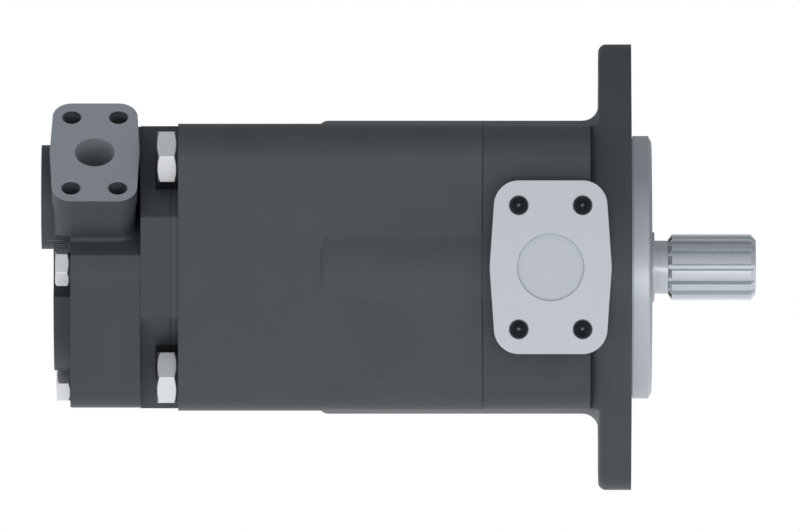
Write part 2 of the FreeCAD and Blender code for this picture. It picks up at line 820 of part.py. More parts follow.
def end_cap():
    """The rear casting: outlet 2 on its angled block, the lugs and the seat of the rear bush."""
    body = new_body("end_cap")
    add_lugs(body, plate_front_x, given("cap_neck_length"))
    half_plate = given("cap_plate_width") / 2
    plate = draw_outline(
        new_sketch(body, PLANE_ACROSS, plate_back_x),
        rectangle(half_plate, half_plate, given("casting_corner")))
    pad(body, plate, given("cap_plate_thick"))
    half = given("end_cap_width") / 2
    block = draw_outline(
        new_sketch(body, PLANE_ACROSS, cap_seat_x), rectangle(half, half, given("end_cap_corner")))
    pad(body, block, given("end_cap_depth"))
    turn(body, ring_path(cap_seat_x, plate_back_x, 0, given("end_cap_barrel_dia") / 2))

    # The corner below outlet 2 is cut off square to the outlet's axis
    wide = given("end_cap_width")
    corner_cut = draw_outline(
        new_sketch(body, PLANE_ACROSS, plate_back_x),
        [turned_point(given("outlet2_slope"), -wide), turned_point(given("outlet2_slope"), wide),
         turned_point(wide, wide), turned_point(wide, -wide)])
    pocket(body, corner_cut, given("end_cap_depth"))
    turn(body, ring_path(cap_end_x, cap_seat_x + extra, 0, given("cap_back_dia") / 2))

    boss_y = -given("rear_boss_reach") * math.cos(math.radians(OUTLET2_TURN))
    boss = draw_circles(new_sketch(body, PLANE_ACROSS, cap_end_x - given("rear_boss_height")),
                        [(boss_y, -boss_y)], given("rear_boss_dia") / 2)
    pad(body, boss, given("rear_boss_height") + given("cap_back_thick"))

    half_u, half_v = given("outlet2_pitch_x") / 2, given("outlet2_pitch_z") / 2
    face = given("outlet2_face")
    port_x = cap_seat_x + given("outlet2_from_seat")
    outlet = draw_outline(
        new_sketch(body, PLANE_SIDE, face, OUTLET2_TURN),
        waisted_outline(given("outlet2_middle"), given("outlet2_corner"), half_u, half_v, port_x))
    pad(body, outlet, given("outlet2_pad_thick"), backwards=True)
    neck = draw_outline(
        new_sketch(body, PLANE_SIDE, face - given("outlet2_pad_thick") / 2, OUTLET2_TURN),
        rectangle(given("outlet2_neck_width") / 2, half_v + given("outlet2_corner"),
                  given("outlet2_corner"), port_x))
    pad(body, neck, face - given("chamber2_dia") / 2 - given("port_root"), backwards=True)

    round_edges(body, given("outlet2_foot_round"), at_outlet2_foot)

    # The pockets round the end cap's bolt heads, open to the rear
    pockets = draw_circles(new_sketch(body, PLANE_ACROSS, cap_seat_x), cap_bolt_places(),
                           given("wrench_pocket_dia") / 2)
    pocket(body, pockets, given("cap_back_thick") + given("rear_boss_height") + given("port_root"))
    holes = draw_circles(new_sketch(body, PLANE_ACROSS, rear_seam), cap_bolt_places(),
                         given("cap_bolt_hole_dia") / 2)
    pocket(body, holes, rear_seam - cap_seat_x)

    # The round spaces inside: cartridge 2, the pressure chamber and the rear bush
    cut_turn(body, ring_path(cartridge2_end, rear_seam + extra, 0, seat2_radius))
    cut_turn(body, ring_path(cartridge2_end - given("chamber2_depth"), cartridge2_end + extra,
                             given("end_hub_dia") / 2, given("chamber2_dia") / 2))
    cut_turn(body, ring_path(bush_back_x, bush_front_x + extra, 0, given("bush_dia") / 2))
    cut_turn(body, ring_path(bush_back_x - given("bush_end_space"), bush_back_x + extra, 0,
                             given("tail_dia") / 2 + extra / 2))

    bore = draw_circles(new_sketch(body, PLANE_SIDE, face, OUTLET2_TURN), [(port_x, 0)],
                        given("outlet2_bore") / 2)
    pocket(body, bore, face - (given("end_hub_dia") + given("chamber2_dia")) / 4)
    holes = draw_circles(new_sketch(body, PLANE_SIDE, face, OUTLET2_TURN),
                         four_corners(half_u, half_v, port_x), given("outlet_bolt_core") / 2)
    drill(body, holes, given("outlet_bolt_core"), given("outlet_bolt_mouth"), given("outlet_bolt_depth"))
    return body


def joint_seal(label, seam, middle, side):
    """A seal ring that fills its groove at a seam between two castings."""
    body = new_body(label)
    half_width, edge = given("joint_seal_width") / 2, given("joint_seal_edge")
    floor = seam + given("joint_seal_depth") * side
    turn(body, [(seam, middle - half_width + edge), (seam, middle + half_width - edge),
                (seam + edge * side, middle + half_width), (floor - edge * side, middle + half_width),
                (floor, middle + half_width - edge), (floor, middle - half_width + edge),
                (floor - edge * side, middle - half_width), (seam + edge * side, middle - half_width)])
    return body


def hex_bolt(name, thread, flats, head, length, seat_x, across, up, angle):
    """A hexagon bolt along X with its head behind the seat, turned by an angle from level flats."""
    prism = primitive("Prism", f"{name}_hex", Circumradius=flats / (cosine(HEX_HALF_ANGLE) * 2), Height=head)
    prism.Polygon = 6
    lay_flat = FreeCAD.Rotation(Vector(0, 1, 0), ONTO_X)
    stand = FreeCAD.Rotation(Vector(0, 0, 1), HEX_HALF_ANGLE + angle)
    prism.Placement = FreeCAD.Placement(Vector(), lay_flat * stand)
    for axis, size in zip("xyz", (seat_x - head, across, up)):
        set_size(prism, f"Placement.Base.{axis}", size)
    # Two cones chamfer the corners at both faces of the head, at the half angle
    crown_radius = flats * given("hex_crown_share")
    wide_radius = crown_radius + head * cosine(HEX_HALF_ANGLE) / sine(HEX_HALF_ANGLE)
    shaped = prism
    for side, radii in (("outer", (crown_radius, wide_radius)), ("seat", (wide_radius, crown_radius))):
        crown = along_x(
            primitive("Cone", f"{name}_{side}_crown", Radius1=radii[0], Radius2=radii[1], Height=head),
            seat_x - head, across, up)
        chamfered = doc.addObject("Part::Common", f"{name}_{side}_head")
        chamfered.Base = shaped
        chamfered.Tool = crown
        shaped = chamfered
    shank = rod(f"{name}_shank", thread / 2, seat_x - extra, length + extra, across, up)
    return joined(name, [shaped, shank])


def bolts(label, places, thread, flats, head, length, seat_x, angles):
    return group(label, [hex_bolt(f"{label}_{n}", thread, flats, head, length, seat_x, *place, angle)
                         for n, (place, angle) in enumerate(zip(places, angles), start=1)])


def outlet1_plug():
    """The cup that closes outlet 1, as for transport."""
    radius = given("outlet1_bore") / 2 - given("fit_clear")
    outer_y = -given("outlet1_face") + given("plug_recess")
    wall = given("plug_wall")

    def disc(name, disc_radius, start_y, height):
        thing = primitive("Cylinder", name, Radius=disc_radius, Height=height)
        thing.Placement = FreeCAD.Placement(Vector(), FreeCAD.Rotation(Vector(1, 0, 0), -90.0))
        set_size(thing, "Placement.Base.x", given("outlet1_x"))
        set_size(thing, "Placement.Base.y", start_y)
        return thing

    cup = disc("plug_cup", radius, outer_y, given("plug_depth"))
    hollow = disc("plug_hollow", radius - wall, outer_y + wall, given("plug_depth"))
    return without("outlet1_plug", cup, hollow)


def cut_spline(body, start_x, length, outer, depth, top_width, floor_width, teeth):
    """Cuts equal tooth spaces into the shaft, from start_x towards -X."""
    rise = extra
    widening = (top_width - floor_width) / 2 * (rise / depth)
    space = draw_outline(
        new_sketch(body, PLANE_ACROSS, start_x),
        [(-outer - rise, -top_width / 2 - widening), (-outer - rise, top_width / 2 + widening),
         (-outer + depth, floor_width / 2), (-outer + depth, -floor_width / 2)])
    cut = pocket(body, space, length)
    repeat(body, [cut], teeth, space)


def shaft():
    """The drive shaft: output spline, bearing seat, seal run and the two rotor drives."""
    body = new_body("shaft")
    chamfer = given("tail_chamfer")
    tail, middle = given("tail_dia") / 2, given("middle_shaft_dia") / 2
    drive1, drive2 = given("drive1_dia") / 2, given("drive2_dia") / 2
    tail_start = bush_front_x + given("tail_shoulder_gap")
    drive2_end = cam2_front_x + given("plate2_front") / 2
    drive1_start = cartridge1_start - given("side_clear")
    seat, shoulder = given("seat_dia") / 2, given("shoulder_dia") / 2
    shoulder_back = bearing_back_x - given("shoulder_width")
    ring_front = bearing_front_x + given("shaft_ring_thick")
    collar, collar_front = given("collar_dia") / 2, given("collar_reach")
    neck, spline = given("neck_shaft_dia") / 2, given("spline_dia") / 2
    spline_start = nose - given("spline_length")
    drop = given("spline_lead_drop")
    turn(body, [(tail_end_x, 0), (nose, 0), (nose, spline - drop),
                (nose - given("spline_lead"), spline), (spline_start + given("spline_entry"), spline),
                (spline_start, spline - given("spline_depth")), (spline_start, neck),
                (collar_front, neck), (collar_front, collar), (ring_front + extra, collar),
                (ring_front + extra, seat), (ring_front, seat),
                (ring_front, given("shaft_ring_groove_dia") / 2),
                (bearing_front_x, given("shaft_ring_groove_dia") / 2), (bearing_front_x, seat),
                (bearing_back_x, seat), (bearing_back_x, shoulder), (shoulder_back, shoulder),
                (shoulder_back, given("seal_run_dia") / 2), (drive1_start, given("seal_run_dia") / 2),
                (drive1_start, drive1), (cartridge1_end, drive1), (cartridge1_end, middle),
                (drive2_end, middle), (drive2_end, drive2), (tail_start, drive2), (tail_start, tail),
                (tail_end_x + chamfer, tail), (tail_end_x, tail - chamfer)])
    cut_spline(body, nose, given("spline_length"), spline, given("spline_depth"),
               given("spline_top_width"), given("spline_floor_width"), count("spline_teeth"))
    drives = ((cam1_front_x, cartridge1_end, drive1), (cam2_front_x, tail_start, drive2))
    for cam_front, end_x, drive in drives:
        start_x = cam_front + given("drive_run_in")
        cut_spline(body, start_x, start_x - end_x, drive, given("drive_depth"),
                   given("drive_top_width"), given("drive_floor_width"), count("drive_teeth"))
    return body


def rotor(label, cam_front, width, outer_dia, drive_dia, vane_thick, vane_height, root_dia):
    """A slotted rotor with an internal spline that the shaft drives."""
    body = new_body(label)
    clear = given("side_clear")
    outer = outer_dia / 2
    low, high = cam_front - width + clear, cam_front - clear
    bore = drive_dia / 2 + clear
    turn(body, ring_path(low, high, bore, outer))
    length = width - clear * 2

    # One tooth of the internal spline
    play = given("vane_clear") * 2
    drive = drive_dia / 2
    inner = drive - given("drive_depth") + play
    half_floor, half_top = given("drive_floor_width") / 2 - play, given("drive_top_width") / 2 - play
    root_hold = extra / 2
    tooth_sketch = draw_outline(
        new_sketch(body, PLANE_ACROSS, low),
        [(-inner, -half_floor), (-inner, half_floor), (-bore - root_hold, half_top),
         (-bore - root_hold, -half_top)])
    tooth = pad(body, tooth_sketch, length)
    repeat(body, [tooth], count("drive_teeth"), tooth_sketch)

    # One vane slot and its round root
    half_slot = vane_thick / 2 + given("vane_clear")
    slot_floor = outer - vane_height - clear
    slot_sketch = draw_outline(
        new_sketch(body, PLANE_ACROSS, high),
        rotated_outline([(slot_floor, -half_slot), (outer + extra, -half_slot),
                         (outer + extra, half_slot), (slot_floor, half_slot)], given("vane_first_angle")))
    slot = pocket(body, slot_sketch, length)
    root_sketch = draw_circles(new_sketch(body, PLANE_ACROSS, high),
                               [polar(slot_floor - root_dia / 4, given("vane_first_angle"))],
                               root_dia / 2)
    root_hole = pocket(body, root_sketch, length)
    repeat(body, [slot, root_hole], count("vane_count"), slot_sketch)
    return body


def rotated_outline(path, angle):
    """A straight-edged outline turned about the origin."""
    turned = []
    for along, across in path:
        along, across = as_size(along), as_size(across)
        turned.append((along * cosine(angle) - across * sine(angle),
                       along * sine(angle) + across * cosine(angle)))
    return turned


def vane(label, number, cam_front, width, outer_dia, thick, height):
    """One vane, drawn in its slot with its rounded tip outwards, drawn in below the rotor's rim."""
    body = new_body(label)
    clear = given("side_clear")
    tip = outer_dia / 2 - clear
    sketch = draw_outline(
        new_sketch(body, PLANE_ACROSS, cam_front - width + clear),
        [(tip - height, -thick / 2), (tip - thick / 4, -thick / 2),
         (tip - thick / 4, thick / 2, thick * TIP_ROUND_SHARE, 1), (tip - height, thick / 2)])
    pad(body, sketch, width - clear * 2)
    angle = given("vane_first_angle") + 360.0 * number / count("vane_count")
    body.Placement = FreeCAD.Placement(Vector(), FreeCAD.Rotation(Vector(1, 0, 0), 0.0))
    set_size(body, "Placement.Rotation.Angle", angle)
    return body


def cam_ring(label, cam_front, width, outer_dia, minor_dia, major_dia, pins):
    """A ring whose bore is an ellipse, with holes for pins and screws."""
    outer = rod(f"{label}_disc", outer_dia / 2, cam_front - width, width)
    ellipse = primitive("Ellipse", f"{label}_ellipse", MajorRadius=major_dia / 2, MinorRadius=minor_dia / 2)
    void = doc.addObject("Part::Extrusion", f"{label}_void")
    void.Base = ellipse
    void.Dir = Vector(0, 0, 1)
    void.Solid = True
    set_size(void, "LengthFwd", width + extra * 2)
    lay_flat = FreeCAD.Rotation(Vector(0, 1, 0), ONTO_X)
    void.Placement = FreeCAD.Placement(Vector(), lay_flat)
    set_size(void, "Placement.Base.x", cam_front - width - extra)
    tools = [void]
    for n, ((across, up), radius) in enumerate(pins, start=1):
        tools.append(rod(f"{label}_hole_{n}", radius, cam_front - width - extra, width + extra * 2,
                         across, up))
    return without(label, outer, joined(f"{label}_voids", tools))


def pin_places(circle):
    """Two opposite places for pins and two for screws, beside the short axis of the cam."""
    angle = given("pin_angle")
    pins = [polar(circle / 2, angle), polar(circle / 2, angle + 180.0)]
    screws = [polar(circle / 2, -angle), polar(circle / 2, 180.0 - angle)]
    return pins, screws


def port_plate(label, x_low, x_high, outer_dia, bore_dia, inner, outer, first_angle, circle,
               pin_dia, screw_dia, seal_side=0, head=None):
    """A side plate with two kidney ports, pin and screw holes and, where asked, a seal groove."""
    body = new_body(label)
    turn(body, ring_path(x_low, x_high, bore_dia / 2, outer_dia / 2))
    thick = x_high - x_low
    half = given("port_half_angle")
    start, end = first_angle - half, first_angle + half
    sketch = draw_outline(
        new_sketch(body, PLANE_ACROSS, x_high),
        [(*polar(inner, start), inner, -1), polar(outer, start), (*polar(outer, end), outer, 1),
         polar(inner, end)])
    window = pocket(body, sketch, thick)
    repeat(body, [window], 2, sketch)
    pins, screws = pin_places(circle)
    for places, dia in ((pins, pin_dia), (screws, screw_dia)):
        holes = draw_circles(new_sketch(body, PLANE_ACROSS, x_high), places,
                             dia / 2 + given("thread_clear"))
        pocket(body, holes, thick)
    if head is not None:
        head_dia, head_depth = head
        seats = draw_circles(new_sketch(body, PLANE_ACROSS, x_low), screws,
                             head_dia / 2 + given("thread_clear") * 4)
        pocket(body, seats, head_depth, backwards=True)
    if seal_side:
        width, inset = given("plate_seal_width"), given("plate_seal_inset")
        low = x_low + inset if seal_side < 0 else x_high - inset - width
        cut_turn(body, ring_path(low, low + width, outer_dia / 2 - given("plate_seal_depth"),
                                 outer_dia / 2 + extra))
    return body


def plate_seal(label, x_low, x_high, outer_dia, seal_side):
    """The ring that seals a side plate in its casting."""
    body = new_body(label)
    width, inset, edge = given("plate_seal_width"), given("plate_seal_inset"), given("joint_seal_edge")
    low = x_low + inset if seal_side < 0 else x_high - inset - width
    high = low + width
    floor, rim = outer_dia / 2 - given("plate_seal_depth"), outer_dia / 2 + given("fit_clear")
    turn(body, [(low + edge, floor), (high - edge, floor), (high, floor + edge), (high, rim - edge),
                (high - edge, rim), (low + edge, rim), (low, rim - edge), (low, floor + edge)])
    return body


def dowel_pins(label, places, dia, cam_front, width):
    hold = given("pin_hold")
    return group(label, [rod(f"{label}_{n}", dia / 2, cam_front - width - hold, width + hold * 2, across, up)
                         for n, (across, up) in enumerate(places, start=1)])


def cartridge_screws(label, places, dia, head_dia, head, head_x, end_x):
    """Socket head screws that hold a cartridge together."""
    screws = []
    for n, (across, up) in enumerate(places, start=1):
        name = f"{label}_{n}"
        head_rod = rod(f"{name}_head", head_dia / 2, head_x - head, head, across, up)
        shank = rod(f"{name}_shank", dia / 2, head_x - head / 2, end_x - head_x + head / 2, across, up)
        socket = along_x(primitive("Prism", f"{name}_socket", Circumradius=dia / 2 * SOCKET_SHARE,
                                   Height=head / 2), head_x - head, across, up)
        screws.append(without(name, joined(f"{name}_solid", [head_rod, shank]), socket))
    return group(label, screws)


def cartridge(number, cam_front, drive_dia):
    """One pumping cartridge: two side plates, cam ring, rotor, vanes, pins, screws and a seal."""
    name = f"p{number}"

    def own(size):
        return given(size.replace("#", str(number)))

    width, outer_dia = own("cam#_width"), own("cartridge#_dia")
    cam_back = cam_front - width
    front_x, rear_x = cam_front + own("plate#_front"), cam_back - own("plate#_rear")
    pin_circle = (outer_dia + own("cam#_minor")) / 2
    pins, screws = pin_places(pin_circle)
    head = (own("screw#_head_dia"), own("screw#_head"))
    suction, pressure = given("port_angle"), given("port_angle") + 90.0
    front_port, rear_port = (pressure, suction) if number == 1 else (suction, pressure)
    shared = (outer_dia, own("plate#_bore"), own("port#_inner"), own("port#_outer"))
    holes = (pin_circle, own("pin#_dia"), own("screw#_dia"))
    parts = [
        port_plate(f"{name}_front_plate", cam_front, front_x, *shared, front_port, *holes,
                   seal_side=1 if number == 1 else 0),
        port_plate(f"{name}_rear_plate", rear_x, cam_back, *shared, rear_port, *holes,
                   seal_side=0 if number == 1 else -1, head=head),
        plate_seal(f"{name}_plate_seal", cam_front, front_x, outer_dia, 1) if number == 1
        else plate_seal(f"{name}_plate_seal", rear_x, cam_back, outer_dia, -1),
        cam_ring(f"{name}_cam_ring", cam_front, width, outer_dia, own("cam#_minor"), own("cam#_major"),
                 [(place, own("pin#_dia") / 2 + given("thread_clear")) for place in pins]
                 + [(place, own("screw#_dia") / 2 + given("thread_clear")) for place in screws]),
        dowel_pins(f"{name}_dowel_pins", pins, own("pin#_dia"), cam_front, width),
        cartridge_screws(f"{name}_screws", screws, own("screw#_dia"), *head, rear_x + own("screw#_head"),
                         front_x - given("screw_end_gap")),
        rotor(f"{name}_rotor", cam_front, width, own("rotor#_dia"), drive_dia, own("vane#_thick"),
              own("vane#_height"), own("slot#_root_dia")),
    ]
    for n in range(count("vane_count")):
        parts.append(vane(f"{name}_vane_{n + 1:02d}", n, cam_front, width, own("rotor#_dia"),
                          own("vane#_thick"), own("vane#_height")))
    return parts


def bearing():
    """The front ball bearing as four pieces."""
    back, front, edge = bearing_back_x, bearing_front_x, given("bearing_edge")
    centre = (back + front) / 2
    pitch, ball, race = given("ball_circle") / 2, given("ball_dia") / 2, given("race_radius")
    seat, inner_rim = given("seat_dia") / 2, given("inner_ring_dia") / 2
    outer_rim, rim = given("outer_ring_bore") / 2, given("bearing_dia") / 2

    # Each race is an arc whose centre lies just past the ball's own centre
    inner_centre = pitch - ball - given("race_gap") + race
    inner_half = root(race * race - (inner_centre - inner_rim) * (inner_centre - inner_rim))
    inner = new_body("bearing_inner_ring")
    turn(inner, [(back, seat + edge), (back + edge, seat), (front - edge, seat), (front, seat + edge),
                 (front, inner_rim), (centre + inner_half, inner_rim),
                 (centre - inner_half, inner_rim, race, -1), (back, inner_rim)])
    outer_centre = pitch + ball + given("race_gap") - race
    outer_half = root(race * race - (outer_rim - outer_centre) * (outer_rim - outer_centre))
    outer = new_body("bearing_outer_ring")
    turn(outer, [(back, outer_rim), (centre - outer_half, outer_rim),
                 (centre + outer_half, outer_rim, race, -1), (front, outer_rim), (front, rim - edge),
                 (front - edge, rim), (back + edge, rim), (back, rim - edge)])

    cage = new_body("bearing_cage")
    half_cage = given("cage_width") / 2
    turn(cage, ring_path(centre - half_cage, centre + half_cage, given("cage_bore") / 2,
                         given("cage_dia") / 2))
    hole_sketch = draw_circles(new_sketch(cage, PLANE_TURNED), [(centre, 0)],
                               given("cage_pocket_dia") / 2)
    hole = pocket(cage, hole_sketch, given("cage_dia"), backwards=True)
    pattern = cage.newObject("PartDesign::PolarPattern", "bearing_cage_pattern")
    pattern.Originals = [hole]
    pattern.Axis = (hole_sketch, ["H_Axis"])
    pattern.Angle = 360.0
    pattern.Occurrences = count("ball_count")
    cage.Tip = pattern

    balls = []
    for n in range(count("ball_count")):
        sphere = primitive("Sphere", f"bearing_ball_{n + 1}", Radius=ball)
        across, up = polar(pitch, 90.0 + 360.0 * n / count("ball_count"))
        for axis, size in zip("xyz", (centre, across, up)):
            set_size(sphere, f"Placement.Base.{axis}", size)
        balls.append(sphere)
    return [inner, outer, cage, group("bearing_balls", balls)]


def retaining_ring(label, x_low, thick, inner, outer, ear_radius):
    """An open spring ring with two ears and their plier eyes."""
    body = new_body(label)
    turn(body, ring_path(x_low, x_low + thick, inner, outer))
    gap, ear, eye = given("ring_gap"), given("ring_ear_dia") / 2, given("ring_eye_dia") / 2
    places = [(gap / 2 + ear, -ear_radius), (-gap / 2 - ear, -ear_radius)]
    for place in places:
        pad(body, draw_circles(new_sketch(body, PLANE_ACROSS, x_low), [place], ear), thick)
    opening = draw_outline(
        new_sketch(body, PLANE_ACROSS, x_low + thick),
        [(-gap / 2, -outer - extra), (gap / 2, -outer - extra), (gap / 2, -inner + extra * 2),
         (-gap / 2, -inner + extra * 2)])
    pocket(body, opening, thick)
    pocket(body, draw_circles(new_sketch(body, PLANE_ACROSS, x_low + thick), places, eye), thick)
    return body


def shaft_seal():
    """The lip seal: a steel case and the rubber lip that runs on the shaft."""
    wall, rim = given("seal_wall"), given("seal_dia") / 2
    run = given("seal_run_dia") / 2 + given("shaft_clear")
    face = seal_front_x - wall
    waist = (rim + run) / 2
    case = new_body("seal_case")
    turn(case, [(seal_back_x, rim - wall), (face, rim - wall), (face, waist), (seal_front_x, waist),
                (seal_front_x, rim), (seal_back_x, rim)])
    lip = new_body("seal_lip")
    lip_back = face - given("seal_lip_width")
    turn(lip, [(seal_front_x, run + 0.6), (seal_front_x, waist), (face, waist), (face, rim - wall),
               (face - 1.5, rim - wall), (face - 1.5, waist), (lip_back, waist - 1.5),
               (lip_back, run + 1.2), (lip_back + 1.5, run)])
    return [case, lip]


def rear_bush():
    body = new_body("rear_bush")
    turn(body, ring_path(bush_back_x, bush_front_x, given("tail_dia") / 2 + given("shaft_clear"),
                         given("bush_dia") / 2))
    return body


nodes = [
    front_cap(),
    centre_housing(),
    end_cap(),
    joint_seal("front_joint_seal", front_seam, joint_seal1_radius, -1),
    joint_seal("rear_joint_seal", rear_seam, joint_seal2_radius, 1),
    bolts("housing_bolts", clamp_places(), given("clamp_dia"), given("clamp_flats"),
          given("clamp_head"), given("clamp_length"), housing_end, CLAMP_ANGLES),
    bolts("end_cap_bolts", cap_bolt_places(), given("cap_bolt_dia"), given("cap_bolt_flats"),
          given("cap_bolt_head"), given("cap_bolt_length"), cap_seat_x, CAP_BOLT_ANGLES),
    outlet1_plug(),
    shaft(),
    *bearing(),
    retaining_ring("bearing_bore_ring", bearing_front_x, given("bore_ring_thick"),
                   given("bore_ring_bore") / 2, given("bore_ring_groove_dia") / 2,
                   given("bore_ring_bore") / 2),
    retaining_ring("bearing_shaft_ring", bearing_front_x, given("shaft_ring_thick"),
                   given("shaft_ring_groove_dia") / 2, given("shaft_ring_dia") / 2,
                   given("shaft_ring_dia") / 2),
    *shaft_seal(),
    rear_bush(),
    *cartridge(1, cam1_front_x, given("drive1_dia")),
    *cartridge(2, cam2_front_x, given("drive2_dia")),
]
doc.recompute()

for thing in doc.Objects:
    if {"Invalid", "Error"} & set(thing.State):
        raise RuntimeError(f"{thing.Name} failed: {thing.State}")
for node in nodes:
    if node.Shape.isNull() or not node.Shape.isValid():
        raise RuntimeError(f"{node.Label} has no valid shape")

os.makedirs("parts", exist_ok=True)
for node in nodes:
    node.Shape.exportStep(f"parts/{node.Label}.step")
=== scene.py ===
import json
import math

import bmesh
import bpy
import numpy as np
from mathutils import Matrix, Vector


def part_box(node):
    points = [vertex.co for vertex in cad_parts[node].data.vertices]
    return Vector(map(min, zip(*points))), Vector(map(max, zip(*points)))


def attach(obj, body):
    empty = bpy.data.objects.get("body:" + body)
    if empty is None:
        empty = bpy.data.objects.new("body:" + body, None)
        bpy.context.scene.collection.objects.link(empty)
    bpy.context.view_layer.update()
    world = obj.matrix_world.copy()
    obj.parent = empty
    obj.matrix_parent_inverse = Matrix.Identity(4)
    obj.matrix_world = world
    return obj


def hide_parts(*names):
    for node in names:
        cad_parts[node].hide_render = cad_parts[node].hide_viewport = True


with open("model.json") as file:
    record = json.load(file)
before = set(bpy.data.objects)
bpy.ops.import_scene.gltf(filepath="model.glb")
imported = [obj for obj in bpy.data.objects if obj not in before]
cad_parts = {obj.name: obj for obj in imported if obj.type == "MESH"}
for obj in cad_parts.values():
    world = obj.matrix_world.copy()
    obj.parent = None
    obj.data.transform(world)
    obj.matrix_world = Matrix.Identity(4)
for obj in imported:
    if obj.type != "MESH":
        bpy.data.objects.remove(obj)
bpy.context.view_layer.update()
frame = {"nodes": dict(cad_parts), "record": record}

MM = 0.001
MOUNTS = {mount["name"]: mount for mount in frame["record"]["mounts"]}
SLOT_OF = {subpart["node"]: subpart["material_slot"] for subpart in frame["record"]["subparts"]}
BODY_OF = {node: body for body, nodes in frame["record"]["behaviour"]["bodies"].items() for node in nodes}


# Colours and nodes

def colour(hex_code):
    """An sRGB hex code as linear light: c / 12.92 in the dark part, ((c + 0.055) / 1.055) ** 2.4 above."""
    channels = np.array([int(hex_code[place:place + 2], 16) for place in (1, 3, 5)]) / 255.0
    linear = np.where(channels <= 0.04045, channels / 12.92, ((channels + 0.055) / 1.055) ** 2.4)
    return (*linear.tolist(), 1.0)


def add_node(tree, kind, settings=None, links=None):
    """Adds one node to the tree, sets its properties and sockets, and links its inputs."""
    node = tree.nodes.new(kind)
    for name, value in (settings or {}).items():
        if hasattr(node, name):
            setattr(node, name, value)
        else:
            node.inputs[name].default_value = value
    for name, source in (links or {}).items():
        tree.links.new(source, node.inputs[name])
    return node


def new_material(name):
    """An empty node material with its Principled shader, its tree and its Object coordinates."""
    material = bpy.data.materials.new(name)
    material.use_nodes = True
    tree = material.node_tree
    shader = tree.nodes["Principled BSDF"]
    place = add_node(tree, "ShaderNodeTexCoord").outputs["Object"]
    return material, tree, shader, place


def grain(tree, place, size_mm, detail=2.0, axis_scale=(1.0, 1.0, 1.0)):
    """Noise whose features are size_mm across, and longer along an axis whose scale is under 1."""
    mapping = add_node(tree, "ShaderNodeMapping", {"Scale": axis_scale}, {"Vector": place})
    return add_node(tree, "ShaderNodeTexNoise", {"Scale": 1.0 / (size_mm * MM), "Detail": detail},
                    {"Vector": mapping.outputs["Vector"]}).outputs["Fac"]


def spread(tree, value, found, wanted):
    """Maps a value from the range found to the range wanted, held at the ends."""
    return add_node(tree, "ShaderNodeMapRange",
                    {"From Min": found[0], "From Max": found[1], "To Min": wanted[0], "To Max": wanted[1]},
                    {"Value": value}).outputs["Result"]


def blend_colours(tree, share, first, second):
    """Mixes two colours, or two colour sockets, by a share from 0 to 1."""
    node = add_node(tree, "ShaderNodeMix", {"data_type": "RGBA"})
    tree.links.new(share, node.inputs[0])
    # The colour sockets of a Mix node are its seventh and eighth inputs and its third output
    for socket, source in ((node.inputs[6], first), (node.inputs[7], second)):
        if isinstance(source, tuple):
            socket.default_value = source
        else:
            tree.links.new(source, socket)
    return node.outputs[2]


def raise_surface(tree, shader, height, depth_mm, edge_mm):
    """Gives the shader a bump of the stated depth on a surface whose edges are worn to a radius."""
    worn = add_node(tree, "ShaderNodeBevel", {"samples": 6, "Radius": edge_mm * MM})
    bump = add_node(tree, "ShaderNodeBump", {"Strength": 0.4, "Distance": depth_mm * MM},
                    {"Height": height, "Normal": worn.outputs["Normal"]})
    tree.links.new(bump.outputs["Normal"], shader.inputs["Normal"])


# Finishes, each named for its metal, paint or plastic and how its surface was made

# The middle of a noise, where most of its values lie
NOISE_MIDDLE = (0.3, 0.7)
COAT_MIDDLE = (0.35, 0.65)
ROUGHNESS_SPREAD = 0.03
TOOL_MARK_DEPTH_MM = 0.004


def painted_cast_iron(name, thin, thick):
    """Sand-cast grey iron under a sprayed enamel.

    The eye sees an even dark grey with a satin sheen and a slight orange peel 2.5 mm across. Where the coat
    ran thick it is a touch lighter and more matt.
    """
    material, tree, shader, place = new_material(name)
    peel = grain(tree, place, size_mm=2.5, detail=1.5)
    coat = grain(tree, place, size_mm=34.0)
    paint = blend_colours(tree, spread(tree, coat, COAT_MIDDLE, (0.0, 1.0)), colour(thin), colour(thick))
    tree.links.new(paint, shader.inputs["Base Color"])
    tree.links.new(spread(tree, coat, NOISE_MIDDLE, (0.40, 0.46)), shader.inputs["Roughness"])
    raise_surface(tree, shader, peel, depth_mm=0.02, edge_mm=0.8)
    return material


def metal(name, dark, light, roughness, mark_mm, axis_scale=(1.0, 1.0, 1.0), edge_mm=0.2):
    """A bare metal whose tool marks are mark_mm wide and run along an axis whose scale is under 1."""
    material, tree, shader, place = new_material(name)
    marks = grain(tree, place, mark_mm, axis_scale=axis_scale)
    tree.links.new(blend_colours(tree, marks, colour(dark), colour(light)), shader.inputs["Base Color"])
    shader.inputs["Metallic"].default_value = 1.0
    gloss = spread(tree, marks, NOISE_MIDDLE, (roughness - ROUGHNESS_SPREAD, roughness + ROUGHNESS_SPREAD))
    tree.links.new(gloss, shader.inputs["Roughness"])
    raise_surface(tree, shader, marks, TOOL_MARK_DEPTH_MM, edge_mm)
    return material


def moulded(name, dark, light, roughness, grain_mm, depth_mm):
    """A moulded plastic or rubber with a fine even texture."""
    material, tree, shader, place = new_material(name)
    texture = grain(tree, place, grain_mm)
    tree.links.new(blend_colours(tree, texture, colour(dark), colour(light)), shader.inputs["Base Color"])
    shader.inputs["Roughness"].default_value = roughness
    raise_surface(tree, shader, texture, depth_mm, edge_mm=0.5)
    return material


PAINT = painted_cast_iron("sprayed_enamel_on_cap_iron", "#3E454A", "#42494E")
# The housing was sprayed apart from the two caps, and its coat is a touch lighter
COATS = {"centre_housing": painted_cast_iron("sprayed_enamel_on_housing_iron", "#44494C", "#484D50")}
# Iron milled after painting is bright, a shade cooler than steel, with faint cutter marks 0.8 mm apart
MILLED = metal("milled_cast_iron", "#C5CACF", "#CDD2D7", 0.37, 0.8, (1.0, 1.0, 0.15), edge_mm=0.25)
